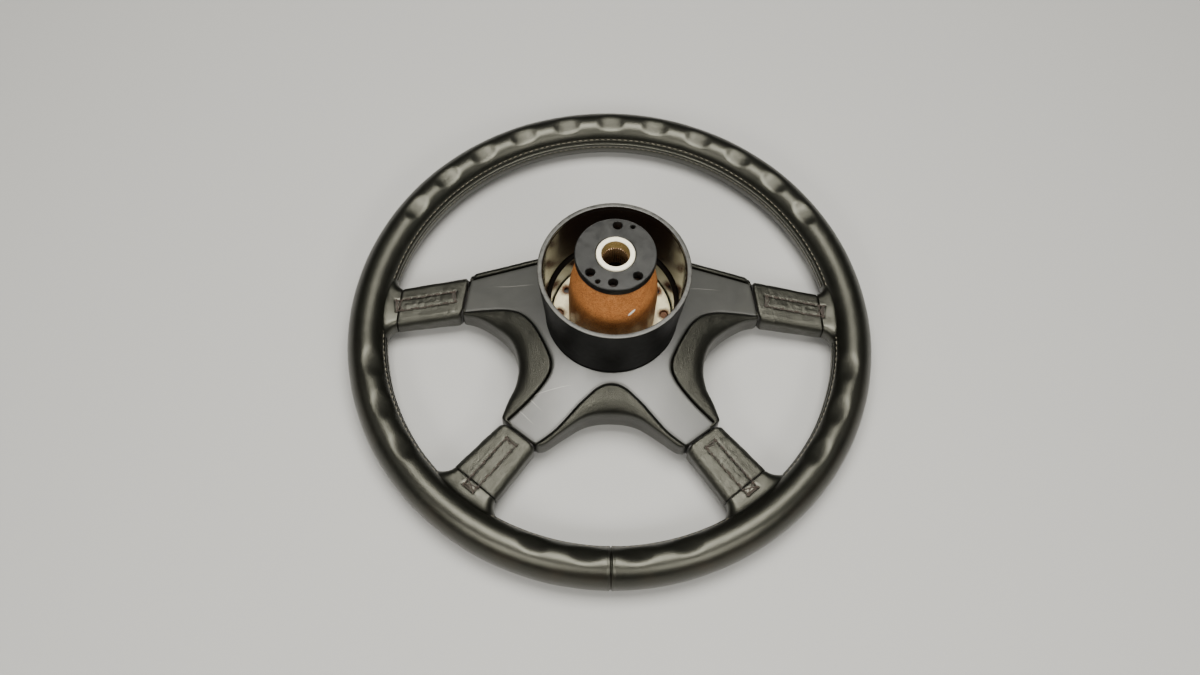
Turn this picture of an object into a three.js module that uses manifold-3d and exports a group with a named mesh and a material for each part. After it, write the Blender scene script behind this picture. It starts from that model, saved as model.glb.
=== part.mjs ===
// Four-spoke leather-rimmed steering wheel with its splined boss, laid face down:
// +Z runs along the wheel axis towards the steering column, z = 0 is the front of the rim,
// +Y points to the top of the wheel. Millimetres.
import * as THREE from 'three';
import { mergeVertices } from 'three/addons/utils/BufferGeometryUtils.js';
import Module from 'manifold-3d';

const wasm = await Module();
wasm.setup();

// ---- driving dimensions ------------------------------------------------------------------
const RIM_OUTER_R = 190;        // outside radius of the leather rim
const RIM_HALF_W = 14.3;        // rim section, radial half width
const RIM_HALF_H = 17;          // rim section, axial half height
const RIM_R = RIM_OUTER_R - RIM_HALF_W;
const RIM_Z = RIM_HALF_H;       // section centre above the rim's front
const LEATHER = 1.4;            // leather thickness
const GAP = 0.35;               // clearance left between touching pieces
const CORE_R = 4.5;             // steel rim ring, section radius
const SEAM_DEG = 164;           // where the rim leather closes, on its inner side
const SEAM_GAP = 1.7;           // width of the open seam
const SEGS = 40;                // facets round the wheel

const DISH_R0 = 46, DISH_Z0 = 45;    // rear cover height at the collar
const DISH_R1 = 107, DISH_Z1 = 29;   // rear cover height where the spokes' sleeves start
const COVER_T = 2.4;                 // rear cover thickness
const PAD_FRONT = 8;                 // front face of the centre pad
const PAD_FLOOR = 12;                // inside face of the centre pad's front wall
const PAD_LIP = 0.4;                 // pad stands this proud of the rear cover

const PLATE_T = 3;                   // pressed steel spider
const PLATE_TOP = 41;                // top of the spider at the hub
const PLATE_HOLE_R = 26;
const FLANGE_R = 42, FLANGE_T = 3;   // boss flange
const BOLT_PCD = 74;                 // six bolts on a 74 mm circle
const BOLT_R = 2.6, BOLT_HOLE_R = 2.95;

const BELL_T = 2;                    // boss bell wall
const DISC_R = 26.5, DISC_T = 7;     // contact disc on the end of the boss
const DISC_TOP = 128.6;
const SLEEVE_R = 12.7;               // splined sleeve
const BORE_R = 9.3, SPLINE_R = 8.7, SPLINES = 24;
const SLEEVE_TOP = 128.9, SPLINE_TOP = 120, SLEEVE_LOW = 101;

const COLLAR_TOP = 109.2;            // open end of the boss collar
const HORN_TRAVEL = 2.5;

// rear cover outline, right half, from the top centre clockwise
const COVER_HALF = [
  [0, 51.6], [22, 49.6], [54, 42.2], [102.4, 33.6], [106.2, 7.2],
  [92.5, 7.1], [74.9, 5.5], [64.9, 1.8], [56.7, -5.7], [49.4, -17.7], [43.4, -30.5], [41.6, -36],
  [41.6, -42], [45, -49.7], [56.2, -63.1], [72.3, -77.6],
  [51.6, -93.2], [39, -84.4], [28.6, -73.8], [22.3, -67], [16.2, -61.5], [10.4, -56.6], [5, -54], [0, -53.3],
];
// centre pad outline, right half, from the top centre clockwise
const PAD_HALF = [
  [0, 57.5], [22, 55], [54, 47.2], [103, 38.4], [107, 4.6],
  [99, 3], [92, -0.2], [81, -7.6], [71.5, -17.3], [66.6, -28.4], [65, -39.9], [66.9, -51.3], [71.6, -61.9], [75.8, -74.5],
  [50.6, -94.4], [46.5, -94.2], [33.8, -85.5], [19.3, -76.2], [9.6, -73.4], [0, -72.8],
];
// spokes' sleeves, right side: corners at the pad end, corners at the rim seam, heights of the rear face
const SPOKES = {
  upper: { a: [103.9, 37.6], b: [107.9, 4.9], c: [152, 29.4], d: [154.3, -1.5], zIn: 28.6, zOut: 25 },
  lower: { a: [75.5, -76.1], b: [51.6, -94.7], c: [106.4, -107.7], d: [78.1, -130.7], zIn: 28.6, zOut: 25 },
};
const SPOKE_FRONT = 9;               // front face of the spokes
// spider arms, right side: centre line points and half widths
const ARMS = {
  upper: [[15, 35, 11], [50, 28.5, 10.5], [78, 22.4, 10], [105, 21.2, 10], [153, 14, 9.5], [182, 9.7, 9.5]],
  lower: [[14, -30, 12], [42.5, -68, 9.5], [60.5, -85.3, 9], [92.3, -119.3, 9.5], [116, -147.5, 9.5]],
};

// ---- helpers -----------------------------------------------------------------------------
const TAU = Math.PI * 2;

function tidy(geometry) {
  const g = geometry.clone();
  for (const name of Object.keys(g.attributes)) if (name !== 'position') g.deleteAttribute(name);
  const m = mergeVertices(g.index ? g : g, 1e-3);
  const p = m.attributes.position.array;
  const src = m.index.array;
  const tris = [];
  let vol = 0;
  for (let i = 0; i < src.length; i += 3) {
    const [a, b, c] = [src[i], src[i + 1], src[i + 2]];
    if (a === b || b === c || a === c) continue;
    tris.push(a, b, c);
    const [ax, ay, az, bx, by, bz, cx, cy, cz] = [p[3 * a], p[3 * a + 1], p[3 * a + 2], p[3 * b], p[3 * b + 1], p[3 * b + 2], p[3 * c], p[3 * c + 1], p[3 * c + 2]];
    vol += ax * (by * cz - bz * cy) + ay * (bz * cx - bx * cz) + az * (bx * cy - by * cx);
  }
  if (vol < 0) for (let i = 0; i < tris.length; i += 3) [tris[i + 1], tris[i + 2]] = [tris[i + 2], tris[i + 1]];
  return { vertProperties: new Float32Array(p), triVerts: new Uint32Array(tris) };
}

const solid = (geometry) => {
  const { vertProperties, triVerts } = tidy(geometry);
  return new wasm.Manifold(new wasm.Mesh({ numProp: 3, vertProperties, triVerts }));
};

function geometryOf(manifold) {
  const m = manifold.getMesh();
  const g = new THREE.BufferGeometry();
  const n = m.numProp;
  const pos = new Float32Array((m.vertProperties.length / n) * 3);
  for (let i = 0; i < pos.length / 3; i++) for (let k = 0; k < 3; k++) pos[3 * i + k] = m.vertProperties[n * i + k];
  g.setAttribute('position', new THREE.BufferAttribute(pos, 3));
  g.setIndex(new THREE.BufferAttribute(new Uint32Array(m.triVerts), 1));
  g.computeVertexNormals();
  return g;
}

// solid of revolution about Z from [radius, height] pairs
function lathe(profile, segs = SEGS) {
  const pts = profile.map(([r, z]) => new THREE.Vector2(r, z));
  if (profile[0][0] > 1e-6 || profile[profile.length - 1][0] > 1e-6) pts.push(pts[0].clone());
  const g = new THREE.LatheGeometry(pts, segs);
  g.rotateX(Math.PI / 2);
  return solid(g);
}

// upright prism of a plan outline between two heights
function prism(outline, z0, z1, holes = []) {
  const shape = new THREE.Shape(outline.map(([x, y]) => new THREE.Vector2(x, y)));
  for (const h of holes) shape.holes.push(new THREE.Path(h.map(([x, y]) => new THREE.Vector2(x, y))));
  const g = new THREE.ExtrudeGeometry(shape, { depth: z1 - z0, bevelEnabled: false, steps: 1 });
  g.translate(0, 0, z0);
  return solid(g);
}

const circle = (x, y, r, n = 16, a0 = 0) => Array.from({ length: n }, (_, i) => [x + r * Math.cos(a0 + (TAU * i) / n), y + r * Math.sin(a0 + (TAU * i) / n)]);
const mirrored = (half) => {
  const left = half.slice(1, half[half.length - 1][0] === 0 ? -1 : undefined).map(([x, y]) => [-x, y]).reverse();
  return [...half, ...left];
};
const cylinder = (x, y, r, z0, z1, n = 16) => prism(circle(x, y, r, n), z0, z1);

// outline moved outwards by d (positive) along its vertex normals
function grown(outline, d) {
  let area = 0;
  for (let i = 0; i < outline.length; i++) {
    const [x0, y0] = outline[i], [x1, y1] = outline[(i + 1) % outline.length];
    area += x0 * y1 - x1 * y0;
  }
  const s = area > 0 ? 1 : -1;
  return outline.map(([x, y], i) => {
    const [px, py] = outline[(i + outline.length - 1) % outline.length];
    const [nx, ny] = outline[(i + 1) % outline.length];
    const u = new THREE.Vector2(x - px, y - py).normalize(), v = new THREE.Vector2(nx - x, ny - y).normalize();
    const n1 = new THREE.Vector2(u.y, -u.x).multiplyScalar(s), n2 = new THREE.Vector2(v.y, -v.x).multiplyScalar(s);
    const m = n1.clone().add(n2).normalize();
    const k = d / Math.max(0.35, m.dot(n1));
    return [x + m.x * k, y + m.y * k];
  });
}

const root = new THREE.Group();
function place(name, shape, color, roughness, metalness) {
  const geometry = shape instanceof THREE.BufferGeometry ? shape : geometryOf(shape);
  const mesh = new THREE.Mesh(geometry, new THREE.MeshStandardMaterial({ color, roughness, metalness }));
  mesh.name = name;
  root.add(mesh);
  return mesh;
}
const LEATHER_BLACK = 0x17171a, PLASTIC_BLACK = 0x1c1c1e, STEEL = 0x9a9a98, CREAM = 0xd9d4bd, RUST = 0xa8622c, BRASS = 0xb59a55;

// ---- rim ---------------------------------------------------------------------------------
// section points run from one edge of the seam round the grip to the other edge
const seamHalf = ((SEAM_GAP / 2 / RIM_HALF_W) * 180) / Math.PI;
const SECTION_DEG = [SEAM_DEG + seamHalf, 202, 236, 270, 305, 335, 360, 385, 415, 450, 487, SEAM_DEG + 360 - seamHalf];
const section = (inset) => SECTION_DEG.map((deg) => {
  const a = (deg * Math.PI) / 180;
  return [RIM_R + (RIM_HALF_W - inset) * Math.cos(a), RIM_Z + (RIM_HALF_H - inset) * Math.sin(a)];
});
const skinOut = section(0);
const skinIn = section(LEATHER).reverse();
let rimLeather = lathe([...skinOut, ...skinIn]);
const foamProfile = section(LEATHER + GAP);
let rimFoam = lathe(foamProfile).subtract(lathe(circle(RIM_R, RIM_Z, CORE_R + GAP, 6)));
const rimCore = lathe(circle(RIM_R, RIM_Z, CORE_R, 6));

// the spider's arms run through these slots in the rim's leather and foam
const mirrorPts = (pts) => pts.map(([x, y, ...rest]) => [-x, y, ...rest]);
function strip(line, extra = 0) {
  const left = [], right = [];
  line.forEach(([x, y, w], i) => {
    const [x0, y0] = line[Math.max(0, i - 1)], [x1, y1] = line[Math.min(line.length - 1, i + 1)];
    const d = new THREE.Vector2(x1 - x0, y1 - y0).normalize();
    left.push([x - d.y * (w + extra), y + d.x * (w + extra)]);
    right.push([x + d.y * (w + extra), y - d.x * (w + extra)]);
  });
  return [...left, ...right.reverse()];
}
const ARM_LOW = 15.5, ARM_TOP = 18.5;   // spider arm heights at the rim
const spokeSides = [['ul', 'upper', -1], ['ur', 'upper', 1], ['ll', 'lower', -1], ['lr', 'lower', 1]];
const armLine = (kind, side) => (side > 0 ? ARMS[kind] : mirrorPts(ARMS[kind]));
const innerDrum = lathe([[0, ARM_LOW - 0.6], [RIM_R - 2, ARM_LOW - 0.6], [RIM_R - 2, ARM_TOP + 0.6], [0, ARM_TOP + 0.6]]);
const innerHole = lathe([[0, 0], [140, 0], [140, 50], [0, 50]]);
for (const [, kind, side] of spokeSides) {
  const slot = prism(strip(armLine(kind, side), 0.6), ARM_LOW - 0.6, ARM_TOP + 0.6).intersect(innerDrum).subtract(innerHole);
  rimLeather = rimLeather.subtract(slot);
  rimFoam = rimFoam.subtract(slot);
}
place('rim_leather', rimLeather, LEATHER_BLACK, 0.5, 0);
place('rim_foam', rimFoam, 0x2a2a2a, 0.9, 0);
place('rim_core_ring', rimCore, STEEL, 0.5, 0.9);
// thread lying in the open seam of the rim leather
const seamA = (SEAM_DEG * Math.PI) / 180;
const seamC = [RIM_R + (RIM_HALF_W - 0.75) * Math.cos(seamA), RIM_Z + (RIM_HALF_H - 0.75) * Math.sin(seamA)];
place('rim_seam_thread', lathe(circle(seamC[0], seamC[1], 0.45, 4, seamA)), 0xc9c2ae, 0.8, 0);

// ---- spider --------------------------------------------------------------------------------
const plateSheet = lathe([
  [PLATE_HOLE_R, PLATE_TOP], [44, PLATE_TOP], [107, 22], [150, ARM_TOP], [RIM_R - CORE_R - 0.45, ARM_TOP],
  [RIM_R - CORE_R - 0.45, ARM_LOW], [150, ARM_LOW], [107, 22 - PLATE_T], [44, PLATE_TOP - PLATE_T], [PLATE_HOLE_R, PLATE_TOP - PLATE_T],
]);
let platePlan = prism(circle(0, 0, 42, SEGS), 0, 60);
for (const [, kind, side] of spokeSides) platePlan = platePlan.add(prism(strip(armLine(kind, side)), 0, 60));
let plate = plateSheet.intersect(platePlan);
const boltAt = (i) => { const a = (i * TAU) / 6; return [(BOLT_PCD / 2) * Math.cos(a), (BOLT_PCD / 2) * Math.sin(a)]; };
for (let i = 0; i < 6; i++) plate = plate.subtract(cylinder(...boltAt(i), BOLT_HOLE_R, 30, 50, 10));
place('spider_plate', plate, STEEL, 0.45, 0.9);

// ---- spokes --------------------------------------------------------------------------------
// a sleeve's section is a rounded rectangle whose width and rear face change along the spoke
const roundRect = (inset) => {
  const r = Math.max(1.2, 5 - inset), pts = [];
  const corner = (sx, sy, a0) => { for (let k = 0; k <= 2; k++) { const a = a0 + (k * Math.PI) / 4; pts.push([sx, sy, r * Math.cos(a), r * Math.sin(a)]); } };
  corner(1, 1, 0); corner(-1, 1, Math.PI / 2); corner(-1, -1, Math.PI); corner(1, -1, 1.5 * Math.PI);
  return { pts, r };
};
function spokeTube(spec, side, insetOut, insetIn, holeRect, from = 0, to = 1.22) {
  // unit section: u across the spoke (-1..1), v from the front (-1) to the rear (+1), with offsets in millimetres
  const mirror = (p) => [side * p[0], p[1]];
  const [a, b, c, d] = [spec.a, spec.b, spec.c, spec.d].map(mirror);
  const loops = [];
  const loop = (inset) => { const { pts, r } = roundRect(inset); return pts.map(([sx, sy, ox, oy]) => ({ sx, sy, ox: ox - sx * (r + inset), oy: oy - sy * (r + inset) })); };
  loops.push(loop(insetOut));
  if (insetIn !== null) loops.push(loop(insetIn));
  const shape = new THREE.Shape(loops[0].map((p, i) => new THREE.Vector2(100 * p.sx + p.ox, 100 * p.sy + p.oy)));
  if (loops[1]) shape.holes.push(new THREE.Path(loops[1].map((p) => new THREE.Vector2(100 * p.sx + p.ox, 100 * p.sy + p.oy))));
  const g = new THREE.ExtrudeGeometry(shape, { depth: 1, bevelEnabled: false, steps: 1 });
  const pos = g.attributes.position;
  for (let i = 0; i < pos.count; i++) {
    const t = from + (to - from) * pos.getZ(i);
    const px = pos.getX(i), py = pos.getY(i);
    const sx = Math.sign(px), sy = Math.sign(py), ox = px - 100 * sx, oy = py - 100 * sy;
    const P = [a[0] + (c[0] - a[0]) * t, a[1] + (c[1] - a[1]) * t];
    const Q = [b[0] + (d[0] - b[0]) * t, b[1] + (d[1] - b[1]) * t];
    const M = [(P[0] + Q[0]) / 2, (P[1] + Q[1]) / 2];
    const w = Math.hypot(P[0] - Q[0], P[1] - Q[1]) / 2;
    const dir = [(P[0] - Q[0]) / (2 * w), (P[1] - Q[1]) / (2 * w)];
    const zTop = spec.zIn + (spec.zOut - spec.zIn) * t;
    const zMid = (zTop + SPOKE_FRONT) / 2, h = (zTop - SPOKE_FRONT) / 2;
    const s = sx * w + ox;
    pos.setXYZ(i, M[0] + dir[0] * s, M[1] + dir[1] * s, zMid + sy * h + oy);
  }
  return solid(g);
}
const rimCope = lathe(section(-GAP));
const outsideCut = lathe([[RIM_R, -5], [230, -5], [230, 60], [RIM_R, 60]]);
for (const [tag, kind, side] of spokeSides) {
  const spec = SPOKES[kind];
  let skin = spokeTube(spec, side, 0, LEATHER).subtract(rimCope).subtract(outsideCut);
  let foam = spokeTube(spec, side, LEATHER + GAP, null).subtract(rimCope).subtract(outsideCut);
  foam = foam.subtract(
    lathe([[60, 23.4], [107, 22.4], [150, ARM_TOP + 0.4], [200, ARM_TOP + 0.4], [200, ARM_LOW - 0.4], [150, ARM_LOW - 0.4], [107, 18.6], [60, 17]])
      .intersect(prism(strip(armLine(kind, side), 0.4), 0, 60)));
  place(`spoke_leather_${tag}`, skin, LEATHER_BLACK, 0.5, 0);
  place(`spoke_foam_${tag}`, foam, 0x2a2a2a, 0.9, 0);
  // lacing thread: a closed loop of stitches over the sleeve's rear seam
  const m = (p) => [side * p[0], p[1]];
  const [a, b, c, d] = [spec.a, spec.b, spec.c, spec.d].map(m);
  const A = [(a[0] + b[0]) / 2, (a[1] + b[1]) / 2], B = [(c[0] + d[0]) / 2, (c[1] + d[1]) / 2];
  const len = Math.hypot(B[0] - A[0], B[1] - A[1]), ux = (B[0] - A[0]) / len, uy = (B[1] - A[1]) / len;
  const rect = (l0, l1, w) => [[l0, -w], [l1, -w], [l1, w], [l0, w]].map(([l, s]) => [A[0] + ux * l - uy * s, A[1] + uy * l + ux * s]);
  const z0 = spec.zIn, z1 = spec.zIn + (spec.zOut - spec.zIn);
  const g = new THREE.ExtrudeGeometry(
    (() => { const s = new THREE.Shape(rect(8, 50, 5).map((p) => new THREE.Vector2(...p))); s.holes.push(new THREE.Path(rect(9.4, 48.6, 3.6).map((p) => new THREE.Vector2(...p)))); return s; })(),
    { depth: 1.0, bevelEnabled: false, steps: 1 });
  const pos = g.attributes.position;
  for (let i = 0; i < pos.count; i++) {
    const t = ((pos.getX(i) - A[0]) * ux + (pos.getY(i) - A[1]) * uy) / len;
    pos.setZ(i, z0 + (z1 - z0) * t + GAP + pos.getZ(i));
  }
  place(`lace_thread_${tag}`, solid(g), 0x4a1f16, 0.8, 0);
}

// ---- centre pad and rear cover ------------------------------------------------------------------
const slope = (DISH_Z1 - DISH_Z0) / (DISH_R1 - DISH_R0);
const dish = (r) => DISH_Z0 + slope * (Math.max(r, 30) - DISH_R0);
const COLLAR_SEAT_R = 44.2;                 // hole in the rear cover for the collar's spigot
let cover = lathe([[COLLAR_SEAT_R, dish(COLLAR_SEAT_R)], [120, dish(120)], [120, dish(120) - COVER_T], [COLLAR_SEAT_R, dish(COLLAR_SEAT_R) - COVER_T]])
  .intersect(prism(mirrored(COVER_HALF), 0, 80));
place('rear_cover', cover, PLASTIC_BLACK, 0.45, 0);

const underDish = lathe([[0, 0], [130, 0], [130, dish(130) + PAD_LIP], [DISH_R0, dish(DISH_R0) + PAD_LIP], [0, dish(DISH_R0) + PAD_LIP]]);
const BEZEL_R = 33;
let pad = prism(mirrored(PAD_HALF), PAD_FRONT, 60).intersect(underDish)
  .subtract(prism(grown(mirrored(COVER_HALF), GAP), PAD_FLOOR, 80))
  .subtract(cylinder(0, 0, BEZEL_R, 0, 20, 24));
// open ends where the spider's arms leave the pad
for (const [, kind, side] of spokeSides) {
  const line = kind === 'upper' ? [[92, 21.3, 10.6], [125, 20.2, 10.6]] : [[56, -81, 9.8], [76, -102, 9.8]];
  pad = pad.subtract(prism(strip(side > 0 ? line : mirrorPts(line), 0), PAD_FLOOR, 60));
}
place('centre_pad', pad, LEATHER_BLACK, 0.6, 0);

// ---- boss ----------------------------------------------------------------------------------------
const FLANGE_LOW = PLATE_TOP + GAP, FLANGE_TOP = FLANGE_LOW + FLANGE_T;
let flange = lathe([[PLATE_HOLE_R, FLANGE_LOW], [FLANGE_R, FLANGE_LOW], [FLANGE_R, FLANGE_TOP], [PLATE_HOLE_R, FLANGE_TOP]]);
for (let i = 0; i < 12; i++) {
  const a = (i * TAU) / 12;
  flange = flange.subtract(cylinder((BOLT_PCD / 2) * Math.cos(a), (BOLT_PCD / 2) * Math.sin(a), i % 2 ? 2.2 : BOLT_HOLE_R, 35, 50, 8));
}
place('boss_flange', flange, CREAM, 0.35, 0.6);
const B0 = FLANGE_TOP + GAP;
const bell = lathe([
  [30.2, B0], [30.4, 80], [28.8, 96.5], [25.4, 110], [21, 118.4], [SLEEVE_R + GAP, 120.6],
  [SLEEVE_R + GAP, 120.6 - BELL_T], [20, 116.4], [23.5, 109], [26.8, 96], [28.4, 80], [28.2, B0],
], 32);
place('boss_bell', bell, RUST, 0.6, 0.1);
let disc = lathe([[SLEEVE_R + GAP, DISC_TOP - DISC_T], [DISC_R, DISC_TOP - DISC_T], [DISC_R, DISC_TOP], [SLEEVE_R + GAP, DISC_TOP]], 32);
for (const [deg, r, h] of [[86.3, 21.4, 3], [-139.9, 21.3, 3], [-94.5, 21.1, 3], [-48.3, 21.3, 3], [61.3, 23.3, 1.5], [-119.4, 23.3, 1.5]]) {
  const a = (deg * Math.PI) / 180;
  disc = disc.subtract(cylinder(r * Math.cos(a), r * Math.sin(a), h, DISC_TOP - DISC_T - 2, DISC_TOP + 2, 8));
}
place('contact_disc', disc, 0x2b2d2c, 0.5, 0.2);
const toothed = [];
for (let i = 0; i < SPLINES; i++) for (const [f, r] of [[0, BORE_R], [0.3, BORE_R], [0.5, SPLINE_R], [0.8, SPLINE_R]]) {
  const a = ((i + f) * TAU) / SPLINES;
  toothed.push([r * Math.cos(a), r * Math.sin(a)]);
}
const sleeve = prism(circle(0, 0, SLEEVE_R, 36), SLEEVE_LOW, SPLINE_TOP, [toothed])
  .add(prism(circle(0, 0, SLEEVE_R, 36), SPLINE_TOP, SLEEVE_TOP, [circle(0, 0, BORE_R, 36)]));
place('hub_sleeve', sleeve, 0xe6e2d2, 0.3, 0.9);
for (let i = 0; i < 6; i++) {
  const [x, y] = boltAt(i);
  const head = prism(circle(x, y, 4.6, 6), PLATE_TOP - PLATE_T - GAP - 3.2, PLATE_TOP - PLATE_T - GAP);
  const shank = cylinder(x, y, BOLT_R, PLATE_TOP - PLATE_T - GAP - 0.5, FLANGE_TOP - 1, 10);
  place(`boss_bolt_${i + 1}`, head.add(shank), 0x5b4a3c, 0.6, 0.8);
}

// ---- collar ----------------------------------------------------------------------------------------
const seat = dish(44) + GAP;
const collar = lathe([
  [46.8, seat], [46.3, seat + 2], [51.1, COLLAR_TOP], [47.8, COLLAR_TOP],
  [44.9, 66], [42.5, 64.6], [42.5, FLANGE_LOW + 1.4], [43.8, FLANGE_LOW + 1.4], [43.8, seat],
]);
place('boss_collar', collar, 0x141414, 0.35, 0);

// ---- horn push ---------------------------------------------------------------------------------------
const button = lathe([
  [0, 4.2], [12, 4.4], [20, 5], [26, 6.4], [28.4, 8.4], [28.4, 19.2], [30.2, 19.2], [30.2, 20.6],
  [26.8, 20.6], [26.8, 9.4], [20, 7.6], [0, 6.8],
], 24);
place('horn_button', button, PLASTIC_BLACK, 0.5, 0);
const bezel = lathe([
  [28.8, 6.6], [36, 6.6], [36, PAD_FRONT - GAP], [BEZEL_R - GAP, PAD_FRONT - GAP], [BEZEL_R - GAP, 18.8], [28.8, 18.8],
], 24);
place('horn_bezel', bezel, 0x26262a, 0.35, 0.2);
const housing = lathe([
  [BEZEL_R - GAP, 19.15], [30.75, 19.15], [30.75, 31.8], [4, 31.8], [4, 33.8], [BEZEL_R - GAP, 33.8],
], 24);
place('horn_housing', housing, 0x30302e, 0.6, 0);
place('horn_contact_moving', lathe([[15, 21], [26.5, 21], [26.5, 22], [15, 22]], 24), BRASS, 0.35, 0.9);
place('horn_contact_fixed', lathe([[15, 22.35 + HORN_TRAVEL], [26.5, 22.35 + HORN_TRAVEL], [26.5, 23.35 + HORN_TRAVEL], [15, 23.35 + HORN_TRAVEL]], 24), BRASS, 0.35, 0.9);
place('horn_insulator', lathe([[14, 26.2], [27.5, 26.2], [27.5, 31.45], [14, 31.45]], 24), 0x8a7a5a, 0.7, 0);
class Coil extends THREE.Curve {
  constructor(r, z0, z1, turns) { super(); Object.assign(this, { r, z0, z1, turns }); }
  getPoint(t, target = new THREE.Vector3()) {
    const a = TAU * this.turns * t;
    return target.set(this.r * Math.cos(a), this.r * Math.sin(a), this.z0 + (this.z1 - this.z0) * t);
  }
}
const wire = new THREE.Shape(circle(0, 0, 0.6, 5).map(([x, y]) => new THREE.Vector2(x, y)));
place('horn_spring', solid(new THREE.ExtrudeGeometry(wire, { steps: 50, bevelEnabled: false, extrudePath: new Coil(9.5, 8.2, 30.8, 5) })), 0xaaaaaa, 0.35, 0.9);
place('horn_terminal', prism([[-3.2, -0.4], [3.2, -0.4], [3.2, 0.4], [-3.2, 0.4]].map(([x, y]) => [x + 20, y]), 34.2, 42), BRASS, 0.35, 0.9);

export default root;
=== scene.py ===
import bpy
import math
import random
import numpy as np
from mathutils import Vector, Matrix, noise
from mathutils.bvhtree import BVHTree
from mathutils.geometry import delaunay_2d_cdt


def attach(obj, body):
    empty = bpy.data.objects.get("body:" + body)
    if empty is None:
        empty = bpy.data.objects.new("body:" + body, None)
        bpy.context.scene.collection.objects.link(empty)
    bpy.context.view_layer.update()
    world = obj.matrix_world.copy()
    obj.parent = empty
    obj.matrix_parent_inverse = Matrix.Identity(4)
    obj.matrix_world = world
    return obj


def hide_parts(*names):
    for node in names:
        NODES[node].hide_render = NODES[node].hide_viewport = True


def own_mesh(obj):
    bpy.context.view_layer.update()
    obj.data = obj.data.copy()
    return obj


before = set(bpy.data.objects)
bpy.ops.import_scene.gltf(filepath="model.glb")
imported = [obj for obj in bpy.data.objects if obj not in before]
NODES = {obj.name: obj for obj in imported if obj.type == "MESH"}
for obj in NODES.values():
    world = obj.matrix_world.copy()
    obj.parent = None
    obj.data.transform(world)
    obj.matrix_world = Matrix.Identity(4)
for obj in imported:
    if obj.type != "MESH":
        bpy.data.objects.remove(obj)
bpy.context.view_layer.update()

TAU = 2 * math.pi
rng = random.Random(7)

# ------------------------------------------------------------------------------ sizes, mm
RIM_R, RIM_Z, RIM_W, RIM_H = 175.7, 17.0, 14.3, 17.0
SEAM_DEG = 164.0
ROWS_DEG = (177.0, 151.0)
SCOOPS = [90 + 11.5 * k for k in range(-5, 6)] + [-168.5, -157, -145.5, -11.5, -23, -34.7, -84.2, -95.8, -72.6, -107.4]
DISH_Z0, DISH_R0, DISH_SLOPE = 45.0, 46.0, -16.0 / 61.0
SPOKES = {
    "upper": dict(a=(103.9, 37.6), b=(107.9, 4.9), c=(152.0, 29.4), d=(154.3, -1.5)),
    "lower": dict(a=(75.5, -76.1), b=(51.6, -94.7), c=(106.4, -107.7), d=(78.1, -130.7)),
}
SPOKE_REAR_IN, SPOKE_REAR_OUT, SPOKE_FRONT = 28.6, 25.0, 9.0
COVER_HALF = [(0, 51.6), (22, 49.6), (54, 42.2), (102.4, 33.6), (106.2, 7.2), (92.5, 7.1), (74.9, 5.5), (64.9, 1.8), (56.7, -5.7), (49.4, -17.7),
              (43.4, -30.5), (41.6, -36), (41.6, -42), (45, -49.7), (56.2, -63.1), (72.3, -77.6), (51.6, -93.2), (39, -84.4), (28.6, -73.8),
              (22.3, -67), (16.2, -61.5), (10.4, -56.6), (5, -54), (0, -53.3)]
COVER_CORNERS = {(102.4, 33.6), (106.2, 7.2), (72.3, -77.6), (51.6, -93.2)}
PAD_HALF = [(0, 57.5), (22, 55), (54, 47.2), (103, 38.4), (107, 4.6), (99, 3), (92, -0.2), (81, -7.6), (71.5, -17.3), (66.6, -28.4), (65, -39.9),
            (66.9, -51.3), (71.6, -61.9), (75.8, -74.5), (50.6, -94.4), (46.5, -94.2), (33.8, -85.5), (19.3, -76.2), (9.6, -73.4), (0, -72.8)]
PAD_CORNERS = {(103, 38.4), (107, 4.6), (75.8, -74.5), (50.6, -94.4)}
SIDES = [("ul", "upper", -1), ("ur", "upper", 1), ("ll", "lower", -1), ("lr", "lower", 1)]


def dish(r):
    return DISH_Z0 + DISH_SLOPE * (max(r, 30.0) - DISH_R0)


def smooth(e0, e1, x):
    t = np.clip((x - e0) / (e1 - e0), 0, 1)
    return t * t * (3 - 2 * t)


def bumpy(p, size, seed=0.0):
    """smooth noise of about -0.5..0.5 at a point in mm, features of the given size in mm"""
    return noise.noise(Vector((p[0] / size + seed, p[1] / size - seed, p[2] / size + 2 * seed)))


# ------------------------------------------------------------------------------ meshes
def make(name, verts, faces, mats, body="wheel", replaces=(), slot=None, sharp=38, face_mats=None, ride=True):
    me = bpy.data.meshes.new(name)
    me.from_pydata([(v[0] * 0.001, v[1] * 0.001, v[2] * 0.001) for v in verts], [], [tuple(int(i) for i in f) for f in faces])
    me.validate()
    mats = mats if isinstance(mats, (list, tuple)) else [mats]
    for m in mats:
        me.materials.append(m)
    if face_mats is not None and len(face_mats) == len(me.polygons):
        me.polygons.foreach_set("material_index", np.array(face_mats, dtype=np.int32))
    me.polygons.foreach_set("use_smooth", np.ones(len(me.polygons), dtype=bool))
    if sharp:
        me.set_sharp_from_angle(angle=math.radians(sharp))
    me.update()
    o = bpy.data.objects.new(name, me)
    bpy.context.scene.collection.objects.link(o)
    if ride:
        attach(o, body)
    if replaces:
        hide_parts(*replaces)
    return o


def grid_faces(n, m, close_n=True, close_m=True, offset=0, flip=False):
    """quads of an n x m grid of vertices, row major"""
    out = []
    for i in range(n if close_n else n - 1):
        i2 = (i + 1) % n
        for j in range(m if close_m else m - 1):
            j2 = (j + 1) % m
            q = (offset + i * m + j, offset + i2 * m + j, offset + i2 * m + j2, offset + i * m + j2)
            out.append(q[::-1] if flip else q)
    return out


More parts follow.
